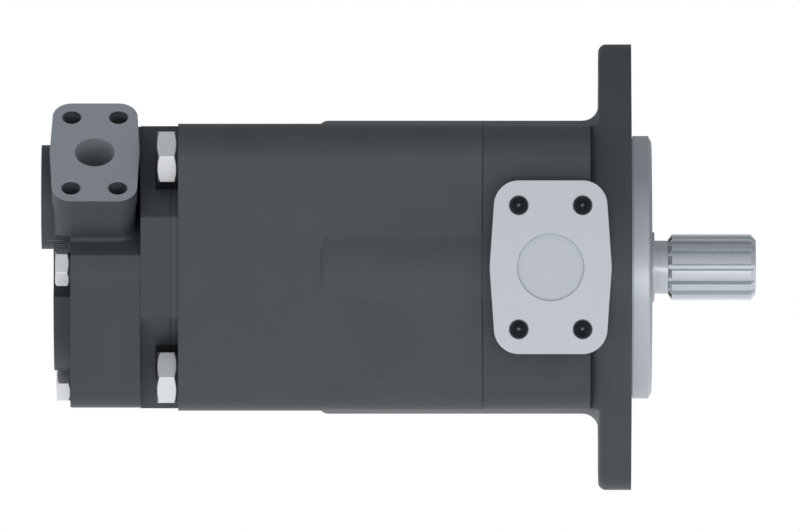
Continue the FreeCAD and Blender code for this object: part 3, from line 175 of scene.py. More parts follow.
# A boring bar leaves a matt wall that scatters what light gets in
BORED = metal("bored_cast_iron", "#C2C7CC", "#CCD1D6", 0.75, 0.8, (0.3, 1.0, 1.0))
# Tapped holes get a darker metal than the pads round them: painted shade for the shadow inside the holes
SHADED_TAPPED_IRON = metal("tapped_cast_iron", "#8E9398", "#9A9FA4", 0.5, 0.8)
FINISHES = {
    "painted_casting": PAINT,
    # Zinc plate gives the bolts an even, pale, half-matt shine
    "plated_bolts": metal("zinc_plated_steel", "#F0F2F3", "#F5F6F7", 0.42, 2.0),
    # The cap is smooth moulded polyethylene, nearly as light as the milled pad round it
    "transport_plug": moulded("moulded_polyethylene", "#CED4DA", "#D2D7DD", 0.45, 1.5, 0.01),
    # Hobbing and grinding leave fine lines along the shaft
    "ground_shaft": metal("ground_shaft_steel", "#D2D7DC", "#DCE0E4", 0.30, 0.5, (0.12, 1.0, 1.0)),
    # Races and balls are lapped to a mirror
    "bearing_steel": metal("lapped_bearing_steel", "#C9CCD0", "#D4D7DA", 0.12, 0.6),
    # The pressed cage is warm yellow with soft scratches
    "pressed_brass": metal("pressed_brass", "#B08F4C", "#C2A25C", 0.3, 0.8),
    # Spring rings come blackened and slightly oily
    "spring_steel": metal("blackened_spring_steel", "#3A3B3F", "#46474C", 0.36, 0.8),
    # Deep-drawn sheet has a dull grey skin
    "pressed_steel": metal("pressed_sheet_steel", "#8E9196", "#9B9EA3", 0.35, 0.8),
    # Nitrile rubber is matt black
    "seal_rubber": moulded("moulded_nitrile_rubber", "#141414", "#1C1C1D", 0.55, 0.8, 0.02),
    # The bush shows turning rings 0.4 mm apart
    "bearing_bronze": metal("turned_bronze", "#9A7644", "#B08B55", 0.3, 0.4, (1.0, 0.2, 0.2)),
    # The side plates are lapped, a flat dull gold
    "plate_bronze": metal("lapped_bronze", "#A08452", "#B09464", 0.25, 0.5),
    # Hardened steel ground along the shaft is grey and glossy, with fine lines
    "hardened_steel": metal("ground_hardened_steel", "#9EA1A6", "#B0B3B8", 0.22, 0.5, (0.2, 1.0, 1.0)),
    # Ground dowel pins are bright all over
    "ground_pins": metal("ground_pin_steel", "#B8BBC0", "#C8CBD0", 0.2, 0.4),
    # Black oxide is a thin dark skin that keeps a metal's shine
    "black_screws": metal("black_oxide_steel", "#242427", "#2E2E32", 0.38, 0.6),
    # Vanes are ground on all sides, glossy and a little darker than the pins
    "vane_steel": metal("ground_vane_steel", "#A4A7AC", "#B6B9BE", 0.2, 0.4),
}


# Meshes. Their sizes are in millimetres until the points become a mesh

POINT_SIZE = 0.001
SEAM_SIZE = 0.0005
CASTING_SHARP_ANGLE = 36.0
SURFACE_SHARP_ANGLE = 50.0
BEVEL_SHARP_ANGLE = 32.0
# A multiple of twelve, so that a hexagon's corners and the middles of its sides lie on columns
ROUND_COLUMNS = 96


def add_object(name, data):
    """A new object that holds the data, linked to the scene."""
    holder = bpy.data.objects.new(name, data)
    bpy.context.scene.collection.objects.link(holder)
    return holder


def full_turn(count):
    """Evenly spaced angles that go round once."""
    return np.linspace(0.0, 2.0 * math.pi, count, endpoint=False)


def circle(angle):
    """Points of the unit circle: (cos(angle), sin(angle))."""
    return np.stack([np.cos(angle), np.sin(angle)], axis=-1)


def turned(profile, angle):
    """Rows of points round the X axis, one row for each (along, radius) of a profile.

    A point is x = along, y = radius * cos(angle), z = radius * sin(angle). Along and radius are each one
    number, or one number for every angle.
    """
    along, radius = (np.stack([np.broadcast_to(row[n], angle.shape) for row in profile]) for n in (0, 1))
    return np.stack([along, radius * np.cos(angle), radius * np.sin(angle)], axis=-1)


def grid_mesh(name, points, close_rows=False):
    """Quads over a grid of rows by columns whose columns run round; poles and seams are merged.

    With close_rows the last row joins the first, so the surface is a ring.
    """
    rows, columns, _ = points.shape
    low = np.arange(rows if close_rows else rows - 1)[:, None]
    across = np.arange(columns)[None, :]
    high, beside = (low + 1) % rows, (across + 1) % columns
    quads = np.stack([low * columns + across, low * columns + beside,
                      high * columns + beside, high * columns + across], axis=-1).reshape(-1, 4)
    mesh = bpy.data.meshes.new(name)
    mesh.from_pydata(points.reshape(-1, 3), [], quads)
    shape = bmesh.new()
    shape.from_mesh(mesh)
    bmesh.ops.remove_doubles(shape, verts=shape.verts, dist=SEAM_SIZE * MM)
    bmesh.ops.dissolve_degenerate(shape, edges=shape.edges, dist=SEAM_SIZE * MM)
    bmesh.ops.recalc_face_normals(shape, faces=shape.faces)
    for face in shape.faces:
        face.smooth = True
    shape.to_mesh(mesh)
    shape.free()
    mesh.set_sharp_from_angle(angle=math.radians(SURFACE_SHARP_ANGLE))
    return mesh


def prism(name, outline, first, last):
    """A closed solid along X between two places, whose outline of (y, z) runs round once.

    A row of its points is centre + (outline - centre) * share: 0 in the middle of each end and 1 at its rim.
    """
    centre = outline.mean(axis=0)
    ends = ((first, 0.0), (first, 1.0), (last, 1.0), (last, 0.0))
    rows = [np.column_stack([np.full(len(outline), place), centre + (outline - centre) * share])
            for place, share in ends]
    return grid_mesh(name, np.stack(rows) * MM)


def round_bar(radius, centre, first, last):
    """A closed cylinder along X: its outline is centre + radius * (cos(a), sin(a))."""
    return prism("round_bar", np.array(centre) + radius * circle(full_turn(ROUND_COLUMNS)), first, last)


def joined_meshes(name, meshes):
    """Several meshes as one, which takes their place."""
    shape = bmesh.new()
    for mesh in meshes:
        shape.from_mesh(mesh)
        bpy.data.meshes.remove(mesh)
    whole = bpy.data.meshes.new(name)
    shape.to_mesh(whole)
    shape.free()
    whole.set_sharp_from_angle(angle=math.radians(SURFACE_SHARP_ANGLE))
    return whole


def combined(mesh, other, operation):
    """A new mesh of two closed ones: DIFFERENCE takes the other's inside away, UNION makes both one solid."""
    holders = [add_object(part.name, part) for part in (mesh, other)]
    joint = holders[0].modifiers.new("combined", "BOOLEAN")
    joint.operation = operation
    joint.solver = "EXACT"
    joint.object = holders[1]
    shown = holders[0].evaluated_get(bpy.context.evaluated_depsgraph_get())
    result = bpy.data.meshes.new_from_object(shown)
    for holder in holders:
        bpy.data.objects.remove(holder)
    return result


def merged_mesh(node):
    """A copy of a CAD node's loose triangles whose corners are merged where they lie at the same place."""
    source = frame["nodes"][node].data
    places = np.empty(len(source.vertices) * 3, np.float32)
    source.vertices.foreach_get("co", places)
    places = places.reshape(-1, 3)
    corners = np.empty(len(source.loops), np.int32)
    source.loops.foreach_get("vertex_index", corners)
    _, kept, joined = np.unique(np.round(places / (POINT_SIZE * MM)).astype(int), axis=0,
                                return_index=True, return_inverse=True)
    triangles = joined.reshape(-1)[corners].reshape(-1, 3)
    whole = (triangles != np.roll(triangles, 1, axis=1)).all(axis=1)
    mesh = bpy.data.meshes.new(f"{node}_merged")
    mesh.from_pydata(places[kept], [], triangles[whole])
    return mesh


# Pieces

def stand_in(mesh, nodes, finishes):
    """A finished mesh as a piece that takes the place of CAD nodes of one body and one finish."""
    for finish in finishes:
        mesh.materials.append(finish)
    piece = add_object(mesh.name, mesh)
    if nodes:
        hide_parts(*nodes)
    return piece


def carried(piece, like):
    """The piece rides on the body of a CAD node."""
    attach(piece, BODY_OF[like])
    return piece


def keep_flat(piece):
    """Weighs a piece's normals by the size of its faces, so that flat ones look flat in the light."""
    flat = piece.modifiers.new("flat_faces", "WEIGHTED_NORMAL")
    flat.keep_sharp = True


# Bare metal on the castings. A radius is a wall's own with a little to spare

PAINTED, MACHINED, MATT, TAPPED = range(4)
FACE_SPARE = 0.1
FLANGE_HOLE_SPARE = 0.2
TAPPED_HOLE_SPARE = 0.1
TAPPED_HOLE_MOUTH = 1.3
# Cosines between a face's normal and the heading of a hole or a pad
STEEPEST_WALL = 0.8
FACING = 0.999
FRONT_BORES_RADIUS = 60.5
HOUSING_BORES_RADIUS = 54.8
REAR_BORES_RADIUS = 45.0
REAR_BORES_BACK_X = -262.0
OUTLET_1_RADIUS = 16.2
OUTLET_2_RADIUS = 9.8
SUCTION_RADIUS = 38.3
FLANGE_HOLES = MOUNTS["mounting_holes"]["dims"]
OUTLET_1 = MOUNTS["outlet_1_bolts"]
SUCTION = MOUNTS["suction_bolts"]
# Outlet 2's bolts have no mount: their pattern lies on its face, round its bore, with the same M10 holes
BORE_2 = MOUNTS["outlet_2_bore"]
FACE_2 = np.dot(MOUNTS["outlet_2_face"]["pos_m"], BORE_2["axis"])
OUTLET_2 = {"pos_m": np.array(BORE_2["pos_m"]) * [1, 0, 0] + np.array(BORE_2["axis"]) * FACE_2,
            "axis": BORE_2["axis"],
            "dims": {"spacing_x_mm": 22.2, "spacing_y_mm": 47.6, "hole_r_mm": OUTLET_1["dims"]["hole_r_mm"]}}


def near_line(points, start, heading, radius_mm):
    """True where a point lies within a radius of the line through start along heading."""
    offset = points - np.array(start)
    along = offset @ np.array(heading)
    return np.linalg.norm(offset - along[:, None] * np.array(heading), axis=1) < radius_mm * MM


def hole_places(pattern):
    """The four corner places of a bolt pattern: its centre plus or less half a pitch along X and across."""
    centre = np.array(pattern["pos_m"])
    lengthwise = np.array([1.0, 0.0, 0.0])
    crosswise = np.cross(np.array(pattern["axis"]), lengthwise)
    half_u = pattern["dims"]["spacing_x_mm"] / 2 * MM
    half_v = pattern["dims"]["spacing_y_mm"] / 2 * MM
    return [centre + lengthwise * half_u * u + crosswise * half_v * v for u in (-1, 1) for v in (-1, 1)]


def wall_of(centres, normals, start, heading, radius_mm):
    """True for the faces round a hole: near its line and far from square to it."""
    near = near_line(centres, start, heading, radius_mm)
    return near & (np.abs(normals @ np.array(heading)) < STEEPEST_WALL)


def port_finish(centres, normals, number, side, pattern, bore_radius):
    """Marks a port's matt bore and its tapped holes, whose darker metal is painted shade, on the faces of
    that side.
    """
    heading = pattern["axis"]
    core = pattern["dims"]["hole_r_mm"]
    number[wall_of(centres, normals, pattern["pos_m"], heading, bore_radius) & side] = MATT
    for place in hole_places(pattern):
        number[near_line(centres, place, heading, core + TAPPED_HOLE_SPARE) & side] = MACHINED
        number[wall_of(centres, normals, place, heading, core + TAPPED_HOLE_MOUTH) & side] = TAPPED


def front_finish(centres, normals):
    """Front cap: the mounting face and pilot, outlet 1's pad and holes, and the bores inside."""
    x, y, z = centres.T
    bare = (x > -FACE_SPARE * MM) | (y < OUTLET_1["pos_m"][1] + FACE_SPARE * MM)
    bare |= np.hypot(y, z) < FRONT_BORES_RADIUS * MM
    for side in (-1, 1):
        centre = (0.0, 0.0, side * FLANGE_HOLES["spacing_y_mm"] / 2 * MM)
        bare |= near_line(centres, centre, (1.0, 0.0, 0.0), FLANGE_HOLES["hole_r_mm"] + FLANGE_HOLE_SPARE)
    number = np.where(bare, MACHINED, PAINTED)
    port_finish(centres, normals, number, y < 0, OUTLET_1, OUTLET_1_RADIUS)
    return number


def housing_finish(centres, normals):
    """Centre housing: the suction pad, its holes and bore, and the bores inside."""
    x, y, z = centres.T
    bare = (y > SUCTION["pos_m"][1] - FACE_SPARE * MM) | (np.hypot(y, z) < HOUSING_BORES_RADIUS * MM)
    number = np.where(bare, MACHINED, PAINTED)
    port_finish(centres, normals, number, y > 0, SUCTION, SUCTION_RADIUS)
    return number


def rear_finish(centres, normals):
    """End cap: outlet 2's pad, its holes and bore, and the bores inside."""
    x, y, z = centres.T
    heading = np.array(OUTLET_2["axis"])
    outwards = centres @ heading
    bare = (np.abs(outwards - FACE_2) < FACE_SPARE * MM) & (normals @ heading > FACING)
    bare |= (np.hypot(y, z) < REAR_BORES_RADIUS * MM) & (x > REAR_BORES_BACK_X * MM)
    number = np.where(bare, MACHINED, PAINTED)
    port_finish(centres, normals, number, outwards > 0, OUTLET_2, OUTLET_2_RADIUS)
    return number


# Forms that are cut out of the castings or joined on to them, in millimetres

# What a cut or a joint stays off the casting's own face, so that the two never fall together
SKIN = 0.03
# How far what is cut with runs past what it cuts
PAST = 1.0
FAR_PAST = 5.0

# The front cap: a two-ended flange, a round barrel behind it and a square block behind a gap
FLANGE_THICK = 15.5
FLANGE_EDGE_ROUND = 3.5
FLANGE_MIDDLE_RADIUS = 76.0
FLANGE_END_RADIUS = 16.0
FLANGE_END_CENTRE = (12.0, FLANGE_HOLES["spacing_y_mm"] / 2)
BARREL_RADIUS = 69.8
FLARE_RADIUS = 7.5
BLOCK_HALF = 67.7
BLOCK_CORNER = 16.0
BLOCK_GAP = 4.2
COLLAR_BORE_RADIUS = 61.0
COLLAR_DROP = 1.5
COLLAR_SINK = 0.6
SCOOP_ROWS = 48
SCOOP_COLUMNS = 180
CORNER_STEPS = 12
COLLAR_COLUMNS = 360
COLLAR_NORMALS = 720
COLLAR_BACK_STEPS = 9
LEAST_LEAN = 0.1

# The boxes that keep the scoop and the collar off outlet 1's pad
PAD_SIDE = 40.0
PAD_BACK_HALF = 34.4
BOX_FAR = 120.0
BOX_BACK_X = -60.0

# The corners between the lugs, where the end cap's plate meets the housing
SLOPE_REACH = 64.2
SLOPE_HALF = 67.07
SLOPE_ON_HOUSING = 4.0
NECK_INSIDE = 59.5
HEAD_SEAT_RADIUS = 15.5
CLAMP_OFFSET = 52.3
PLATE_BACK_X = -232.7
PLATE_FRONT_X = -225.7
# Two outlines larger than the plate: one by its half and its reach, and one that keeps the slopes' reach
PLATE_OUTSIDE = (100.0, 140.0)
PLATE_KEPT_HALF = 90.0
# The frame's points are single precision, so the joint's place is rounded to a hundredth
JOINT_X = round(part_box("centre_housing")[0].x / MM, 2)


def side_box(half_height):
    """The outline of a box on the side where outlet 1's pad stands."""
    return np.array([(-PAD_SIDE, -half_height), (-PAD_SIDE, half_height),
                     (-BOX_FAR, half_height), (-BOX_FAR, -half_height)])


def block_outline():
    """The square block's outline: quarter arcs round the centres of its four corners."""
    quarter = np.linspace(0.0, math.pi / 2, CORNER_STEPS)
    angle = np.concatenate([quarter + corner * math.pi / 2 for corner in range(4)])
    centres = np.array([(1, 1), (-1, 1), (-1, -1), (1, -1)]) * (BLOCK_HALF - BLOCK_CORNER)
    return np.repeat(centres, CORNER_STEPS, axis=0) + (BLOCK_CORNER + SKIN) * circle(angle)


def flare_scoop():
    """What is hollowed out behind the flange so that it flows into the barrel.

    The scoop is a torus round the shaft's axis: x = middle + reach * cos(a), radius = middle radius +
    reach * sin(a). The square block of the casting, with its round corners, is kept out of it, and so is
    the side where outlet 1's pad stands.
    """
    section = full_turn(SCOOP_ROWS)
    reach = FLARE_RADIUS - SKIN
    profile = list(zip(-FLANGE_THICK - FLARE_RADIUS + reach * np.cos(section),
                       BARREL_RADIUS + FLARE_RADIUS + reach * np.sin(section)))
    ring = grid_mesh("flare_scoop", turned(profile, full_turn(SCOOP_COLUMNS)) * MM, close_rows=True)
    block = prism("block", block_outline(), BOX_BACK_X, -FLANGE_THICK - BLOCK_GAP + SKIN)
    pad_side = prism("pad_side", side_box(BOX_FAR), BOX_BACK_X, 0.0)
    return combined(combined(ring, block, "DIFFERENCE"), pad_side, "DIFFERENCE")


def flange_collar():
    """The casting between the square block and the flange, flush with the flange's rim.

    A convex outline that reaches h(b) along the normal b has the radius min over b of h(b) / cos(a - b) at
    the angle a. The collar's outline is what the flange and the block have in common, and its back rounds
    off into the block by a quarter ellipse. The space behind outlet 1's pad is kept out of it.
    """
    angle, normal = full_turn(COLLAR_COLUMNS), full_turn(COLLAR_NORMALS)
    side, up = np.abs(np.cos(normal)), np.abs(np.sin(normal))
    flange = np.maximum(FLANGE_MIDDLE_RADIUS,
                        FLANGE_END_CENTRE[0] * side + FLANGE_END_CENTRE[1] * up + FLANGE_END_RADIUS)
    block = (BLOCK_HALF - BLOCK_CORNER) * (side + up) + BLOCK_CORNER
    # A normal that leans too far from the angle never gives the least radius
    lean = np.cos(angle[:, None] - normal)
    radius = np.minimum(flange, block) / np.maximum(lean, LEAST_LEAN)
    rim = np.where(lean > LEAST_LEAN, radius, np.inf).min(axis=1) - SKIN

    front = FLANGE_EDGE_ROUND + COLLAR_SINK - FLANGE_THICK
    back = -BLOCK_GAP - COLLAR_SINK - FLANGE_THICK
    profile = [(front, COLLAR_BORE_RADIUS), (front, rim)]
    profile += [(-BLOCK_GAP * math.sin(a) - FLANGE_THICK, rim - COLLAR_DROP * (1.0 - math.cos(a)))
                for a in np.linspace(0.0, math.pi / 2, COLLAR_BACK_STEPS)]
    profile += [(back, rim - COLLAR_DROP), (back, COLLAR_BORE_RADIUS)]
    ring = grid_mesh("flange_collar", turned(profile, angle) * MM, close_rows=True)
    return combined(ring, prism("pad_back", side_box(PAD_BACK_HALF), BOX_BACK_X, 0.0), "DIFFERENCE")


def sloped_square(half, reach):
    """A square outline whose four corners are cut off by slopes of 45 degrees at this reach.

    A slope runs from (half, cut) to (cut, half), where cut = reach * sqrt(2) - half, and the other three are
    the same by quarter turns.
    """
    cut = reach * math.sqrt(2.0) - half
    slope = np.array([(half, cut), (cut, half)])
    turns = [np.array([(math.cos(a), math.sin(a)), (-math.sin(a), math.cos(a))])
             for a in (0.0, math.pi / 2, math.pi, 1.5 * math.pi)]
    return np.concatenate([slope @ turn for turn in turns])


def sloping_corners(first, last):
    """The castings between the lugs: four slopes over the neck, each with a round seat for a bolt's head."""
    cut_from, cut_to = first - FAR_PAST, last + FAR_PAST
    solid = combined(prism("sloping_corners", sloped_square(SLOPE_HALF, SLOPE_REACH), first, last),
                     round_bar(NECK_INSIDE, (0.0, 0.0), cut_from, cut_to), "DIFFERENCE")
    for side in (-1, 1):
        for up in (-1, 1):
            centre = (side * CLAMP_OFFSET, up * CLAMP_OFFSET)
            solid = combined(solid, round_bar(HEAD_SEAT_RADIUS, centre, cut_from, cut_to), "DIFFERENCE")
    return solid


def plate_corners():
    """What the same slopes take off the end cap's square plate."""
    outside = prism("plate_corners", sloped_square(*PLATE_OUTSIDE), PLATE_BACK_X, PLATE_FRONT_X + PAST)
    inside = prism("plate_kept", sloped_square(PLATE_KEPT_HALF, SLOPE_REACH + SKIN),
                   PLATE_BACK_X - PAST, PLATE_FRONT_X + 2 * PAST)
    return combined(outside, inside, "DIFFERENCE")


def face_vectors(mesh, kind):
    """The centre or the normal of every face."""
    vectors = np.empty(len(mesh.polygons) * 3, np.float32)
    mesh.polygons.foreach_get(kind, vectors)
    return vectors.reshape(-1, 3)


def merged(node, finish_of=None, less=None, plus=None):
    """A merged copy of a CAD node, smooth over its curves and sharp at its edges.

    A casting's finish_of numbers the finish of every face from its centre and its normal. The form less is
    cut out of it, and the form plus is joined on.
    """
    mesh = merged_mesh(node)
    if less:
        mesh = combined(mesh, less, "DIFFERENCE")
    if plus:
        mesh = combined(mesh, plus, "UNION")
    mesh.shade_smooth()
    mesh.set_sharp_from_angle(angle=math.radians(CASTING_SHARP_ANGLE))
    finishes = [COATS.get(node, FINISHES[SLOT_OF[node]])]
    if finish_of:
        finishes += [MILLED, BORED, SHADED_TAPPED_IRON]
        number = finish_of(face_vectors(mesh, "center"), face_vectors(mesh, "normal"))
        mesh.polygons.foreach_set("material_index", number.astype(np.int32))
    keep_flat(carried(stand_in(mesh, [node], finishes), node))


# Hexagon bolts. Sizes in millimetres, the turn of a head about its axis in degrees

CROWN_SHARE = 0.485
WASHER_SHARE = 0.45
WASHER_HEIGHT = 0.5
TIP_SHARE = 0.1
BOLT_EDGE_ROUND = 0.25
CLAMP = {"thread": 16.0, "flats": 24.0, "head": 10.0, "length": 175.0}
CAP_BOLT_RADIUS = 55.5
CAP_BOLT = {"thread": 10.0, "flats": 16.0, "head": 7.2, "length": 65.0}
CAP_BOLT_TURNS = {(1, 0): 8.0, (0, 1): 22.0, (-1, 0): 17.0, (0, -1): 0.0}


def hex_bolt_mesh(name, seat, thread, flats, head, length, turn_degrees):
    """A hexagon bolt along X with both faces of its head chamfered.

    Round the axis the hexagon's radius is half the flats over cos(angle within one side). Each 30 degree
    crown cone meets it at x = (hexagon radius - crown radius) * tan 30, so that height varies round the head
    and draws the arcs on each side. The shank is a cylinder that ends in a chamfer.
    """
    angle = full_turn(ROUND_COLUMNS)
    within_side = (angle + math.pi / 6.0) % (math.pi / 3.0) - math.pi / 6.0
    hexagon = flats / 2.0 / np.cos(within_side)
    crown, washer, shank = flats * CROWN_SHARE, flats * WASHER_SHARE, thread / 2.0
    fall = (hexagon - crown) * math.tan(math.pi / 6.0)
    tip = thread * TIP_SHARE
    profile = [(-head, 0.0), (-head, crown), (-head + fall, hexagon), (-WASHER_HEIGHT - fall, hexagon),
               (-WASHER_HEIGHT, crown), (-WASHER_HEIGHT, washer), (0.0, washer), (0.0, shank),
               (length - tip, shank), (length, shank - tip), (length, 0.0)]
    points = turned(profile, angle + math.pi / 2.0 + math.radians(turn_degrees))
    return grid_mesh(name, (points + np.array(seat)) * MM)


def soften(piece, width_mm):
    """Rounds a piece's sharp edges by a narrow bevel and keeps its flat faces flat in the light."""
    bevel = piece.modifiers.new("rounded_edges", "BEVEL")
    bevel.width = width_mm * MM
    bevel.segments = 2
    bevel.limit_method = "ANGLE"
    bevel.angle_limit = math.radians(BEVEL_SHARP_ANGLE)
    keep_flat(piece)


def plated_bolts():
    """The four long M16 bolts and the four M10 bolts, whose heads begin where the CAD's do."""
    clamp_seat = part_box("housing_bolts")[0].x / MM + CLAMP["head"]
    cap_bolt_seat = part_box("end_cap_bolts")[0].x / MM + CAP_BOLT["head"]
    clamps = [hex_bolt_mesh(f"clamp_{y}_{z}", (clamp_seat, CLAMP_OFFSET * y, CLAMP_OFFSET * z),
                            turn_degrees=0.0, **CLAMP) for y in (-1, 1) for z in (-1, 1)]
    caps = [hex_bolt_mesh(f"cap_{y}_{z}", (cap_bolt_seat, CAP_BOLT_RADIUS * y, CAP_BOLT_RADIUS * z),
                          turn_degrees=turn, **CAP_BOLT) for (y, z), turn in CAP_BOLT_TURNS.items()]
    for node, meshes in (("housing_bolts", clamps), ("end_cap_bolts", caps)):
        mesh = joined_meshes(f"{node}_forged", meshes)
        soften(carried(stand_in(mesh, [node], [FINISHES["plated_bolts"]]), node), BOLT_EDGE_ROUND)


# Threads of the tapped holes, in millimetres

M10_THREAD = {"pitch": 1.5, "last": 15.0}
M16_THREAD = {"pitch": 2.0, "last": 19.0}
THREAD_START = 0.8
THREAD_COLUMNS = 40
ROWS_PER_PITCH = 10
CREST_SHARE = 0.17
THREAD_LIFT = 0.01
THREAD_BACK = 0.4


def tapped_thread(name, start, heading, core, pitch, last):
    """The thread of a tapped hole, as a ring that lies on the hole's wall.

    On the inner side the radius is the core radius less a crest height times a raised cosine of
    (depth / pitch - turn), faded out at both ends. The outer side is a plain cylinder inside the metal.
    """
    first = THREAD_START
    depth = np.linspace(first, last, int((last - first) / pitch * ROWS_PER_PITCH))[:, None]
    turn = np.linspace(0.0, 1.0, THREAD_COLUMNS, endpoint=False)[None, :]
    fade = np.clip(np.minimum(depth - first, last - depth) / pitch, 0.0, 1.0)
    crest = CREST_SHARE * pitch * fade
    inner = core - crest * (0.5 + 0.5 * np.cos(2.0 * math.pi * (depth / pitch - turn))) + THREAD_LIFT
    radius = np.concatenate([inner, np.full((2, THREAD_COLUMNS), core + THREAD_BACK)])
    depth = np.concatenate([depth, [[last], [first]]]) * np.ones((1, THREAD_COLUMNS))
    heading = np.array(heading)
    side = np.cross(heading, (1.0, 0.0, 0.0))
    angle = 2.0 * math.pi * turn
    spokes = np.cos(angle)[..., None] * np.array([1.0, 0.0, 0.0]) + np.sin(angle)[..., None] * side
    points = np.array(start) + (spokes * radius[..., None] - heading * depth[..., None]) * MM
    return grid_mesh(name, points, close_rows=True)


def threads():
    """Threads in the bolt holes of the three ports."""
    for node, pattern, thread in (("front_cap", OUTLET_1, M10_THREAD), ("end_cap", OUTLET_2, M10_THREAD),
                                  ("centre_housing", SUCTION, M16_THREAD)):
        core = pattern["dims"]["hole_r_mm"]
        rings = [tapped_thread(f"{node}_thread_{n}", place, pattern["axis"], core, **thread)
                 for n, place in enumerate(hole_places(pattern))]
        # The threads take the tapped holes' darker metal, painted shade for the inside of the holes
        carried(stand_in(joined_meshes(f"{node}_threads", rings), [], [SHADED_TAPPED_IRON]), node)


# The transport cap, in millimetres

# Shares of the rim's radius at which the flat face has rows
FACE_SHARES = (0.0, 0.3, 0.6)
CAP_WALL = 1.8
CAP_CORNER = 1.0
DISH_WIDTH = 2.6
DISH_DEPTH = 0.25
DISH_STEPS = 9


def transport_cap():
    """The cap in outlet 1: a turned profile of depth over radius, with a dished rim.

    The face sinks by a raised cosine over the dish's width before its rim, then runs into the bore, and the
    cup is hollow behind.
    """
    low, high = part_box("outlet1_plug")
    rim = (high.x - low.x) / 2 / MM
    face, back = low.y / MM, high.y / MM
    inside, bottom = rim - CAP_WALL, face + CAP_WALL
    profile = [(face, rim * share) for share in FACE_SHARES] + [(face, rim - DISH_WIDTH)]
    profile += [(face + DISH_DEPTH * (0.5 - 0.5 * math.cos(math.pi * share)),
                 rim - DISH_WIDTH + DISH_WIDTH * share) for share in np.linspace(0.0, 1.0, DISH_STEPS)[1:]]
    profile += [(back, rim), (back, inside), (bottom + CAP_CORNER, inside), (bottom, inside - CAP_CORNER),
                (bottom, 0.0)]
    # The cap's axis is Y, so along and across change places
    points = turned(profile, full_turn(ROUND_COLUMNS))[..., [1, 0, 2]]
    centre = np.array([(low.x + high.x) / 2, 0.0, (low.z + high.z) / 2])
    mesh = grid_mesh("moulded_cap", points * MM + centre)
    carried(stand_in(mesh, ["outlet1_plug"], [FINISHES["transport_plug"]]), "outlet1_plug")


# The object

merged("front_cap", front_finish, flare_scoop(), flange_collar())
merged("centre_housing", housing_finish, plus=sloping_corners(JOINT_X + SKIN, JOINT_X + SLOPE_ON_HOUSING))
merged("end_cap", rear_finish, plate_corners(),
       sloping_corners(PLATE_FRONT_X - COLLAR_SINK, JOINT_X - SKIN))
plated_bolts()
threads()
transport_cap()
for round_node in ("shaft", "bearing_inner_ring", "bearing_outer_ring", "bearing_bore_ring",
                   "bearing_shaft_ring", "bearing_cage", "bearing_balls", "seal_case", "seal_lip",
                   "p1_rear_plate", "p1_cam_ring", "p2_front_plate", "p1_screws"):
    merged(round_node)

for node, slot in SLOT_OF.items():
    for place in frame["nodes"][node].material_slots:
        place.material = FINISHES[slot]


# Camera: far off with a long lens, level with the shaft and square to outlet 1. Places in metres

IMAGE_WIDTH = 800
PIXELS_PER_MM = 2.1
CENTRE_X = -109.9 * MM
CENTRE_Z = 0.57 * MM
CAMERA_DISTANCE = 12.0
SENSOR_WIDTH = 36.0


def long_lens_camera():
    """A camera whose sensor is filled, at the object's distance, by IMAGE_WIDTH / PIXELS_PER_MM."""
    camera = bpy.data.cameras.new("camera")
    camera.sensor_width = SENSOR_WIDTH
    camera.lens = SENSOR_WIDTH * CAMERA_DISTANCE / (IMAGE_WIDTH / PIXELS_PER_MM * MM)
    camera.clip_end = 100.0
    holder = add_object("camera", camera)
    holder.location = (CENTRE_X, -CAMERA_DISTANCE, CENTRE_Z)
    holder.rotation_euler = (math.radians(90.0), 0.0, 0.0)
    bpy.context.scene.camera = holder


long_lens_camera()


# Light: a pale room, darker overhead and behind, and one low soft box in front. Places in metres

BODY_CENTRE = (-0.1, 0.0, 0.0)
HORIZON = (0.67, 0.68, 0.69, 1.0)
HIGH_WALL = (0.42, 0.43, 0.45, 1.0)
OVERHEAD = (0.29, 0.30, 0.32, 1.0)
BEHIND = (0.30, 0.31, 0.32, 1.0)
PLAIN_WHITE = (1.0, 1.0, 1.0, 1.0)


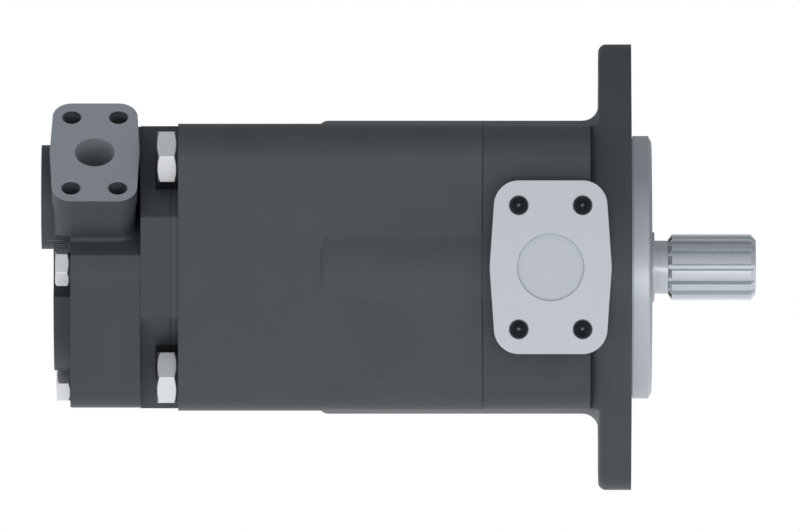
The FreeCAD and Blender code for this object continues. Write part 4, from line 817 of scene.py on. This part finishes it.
def area_light(name, place, aim, width, height, power):
    """A soft box at a place, turned to face the aim point."""
    light = bpy.data.lights.new(name, "AREA")
    light.shape = "RECTANGLE"
    light.size = width
    light.size_y = height
    light.energy = power
    holder = add_object(name, light)
    holder.location = place
    heading = np.array(aim) - np.array(place)
    pitch = math.atan2(math.hypot(heading[0], heading[1]), -heading[2])
    holder.rotation_euler = (pitch, 0.0, math.atan2(-heading[0], heading[1]))


def studio_world():
    """A room whose brightness falls from the horizon to overhead and to behind the object.

    The camera itself sees plain white.
    """
    world = bpy.data.worlds.new("studio")
    bpy.context.scene.world = world
    world.use_nodes = True
    tree = world.node_tree
    heading = add_node(tree, "ShaderNodeTexCoord").outputs["Generated"]
    parts = add_node(tree, "ShaderNodeSeparateXYZ", links={"Vector": heading})
    wall = blend_colours(tree, spread(tree, parts.outputs["Z"], (0.0, 0.9), (0.0, 1.0)), HORIZON, HIGH_WALL)
    sky = blend_colours(tree, spread(tree, parts.outputs["Z"], (0.85, 1.0), (0.0, 1.0)), wall, OVERHEAD)
    room = blend_colours(tree, spread(tree, parts.outputs["Y"], (-0.1, 0.5), (0.0, 1.0)), sky, BEHIND)
    seen = add_node(tree, "ShaderNodeLightPath").outputs["Is Camera Ray"]
    shown = blend_colours(tree, seen, room, PLAIN_WHITE)
    tree.links.new(shown, tree.nodes["Background"].inputs["Color"])
    tree.nodes["Background"].inputs["Strength"].default_value = 1.0


area_light("low_front_box", (-0.1, -1.2, -0.28), BODY_CENTRE, width=2.4, height=0.35, power=2.5)
studio_world()


# Floor, in metres

FLOOR_DROP = 0.3
FLOOR_REACH = 8.0
FLOOR_GLOW = 0.45


def white_floor():
    """A level square below the object, matt white and glowing a little."""
    mesh = bpy.data.meshes.new("floor")
    mesh.from_pydata([(x * FLOOR_REACH, y * FLOOR_REACH, -FLOOR_DROP)
                      for x, y in ((-1, -1), (1, -1), (1, 1), (-1, 1))], [], [(0, 1, 2, 3)])
    floor = add_object("floor", mesh)
    finish, _, shader, _ = new_material("matt_white_floor")
    shader.inputs["Base Color"].default_value = colour("#F2F2F2")
    shader.inputs["Roughness"].default_value = 0.9
    shader.inputs["Emission Color"].default_value = colour("#FFFFFF")
    shader.inputs["Emission Strength"].default_value = FLOOR_GLOW
    mesh.materials.append(finish)


white_floor()

bpy.context.scene.view_settings.view_transform = "Standard"
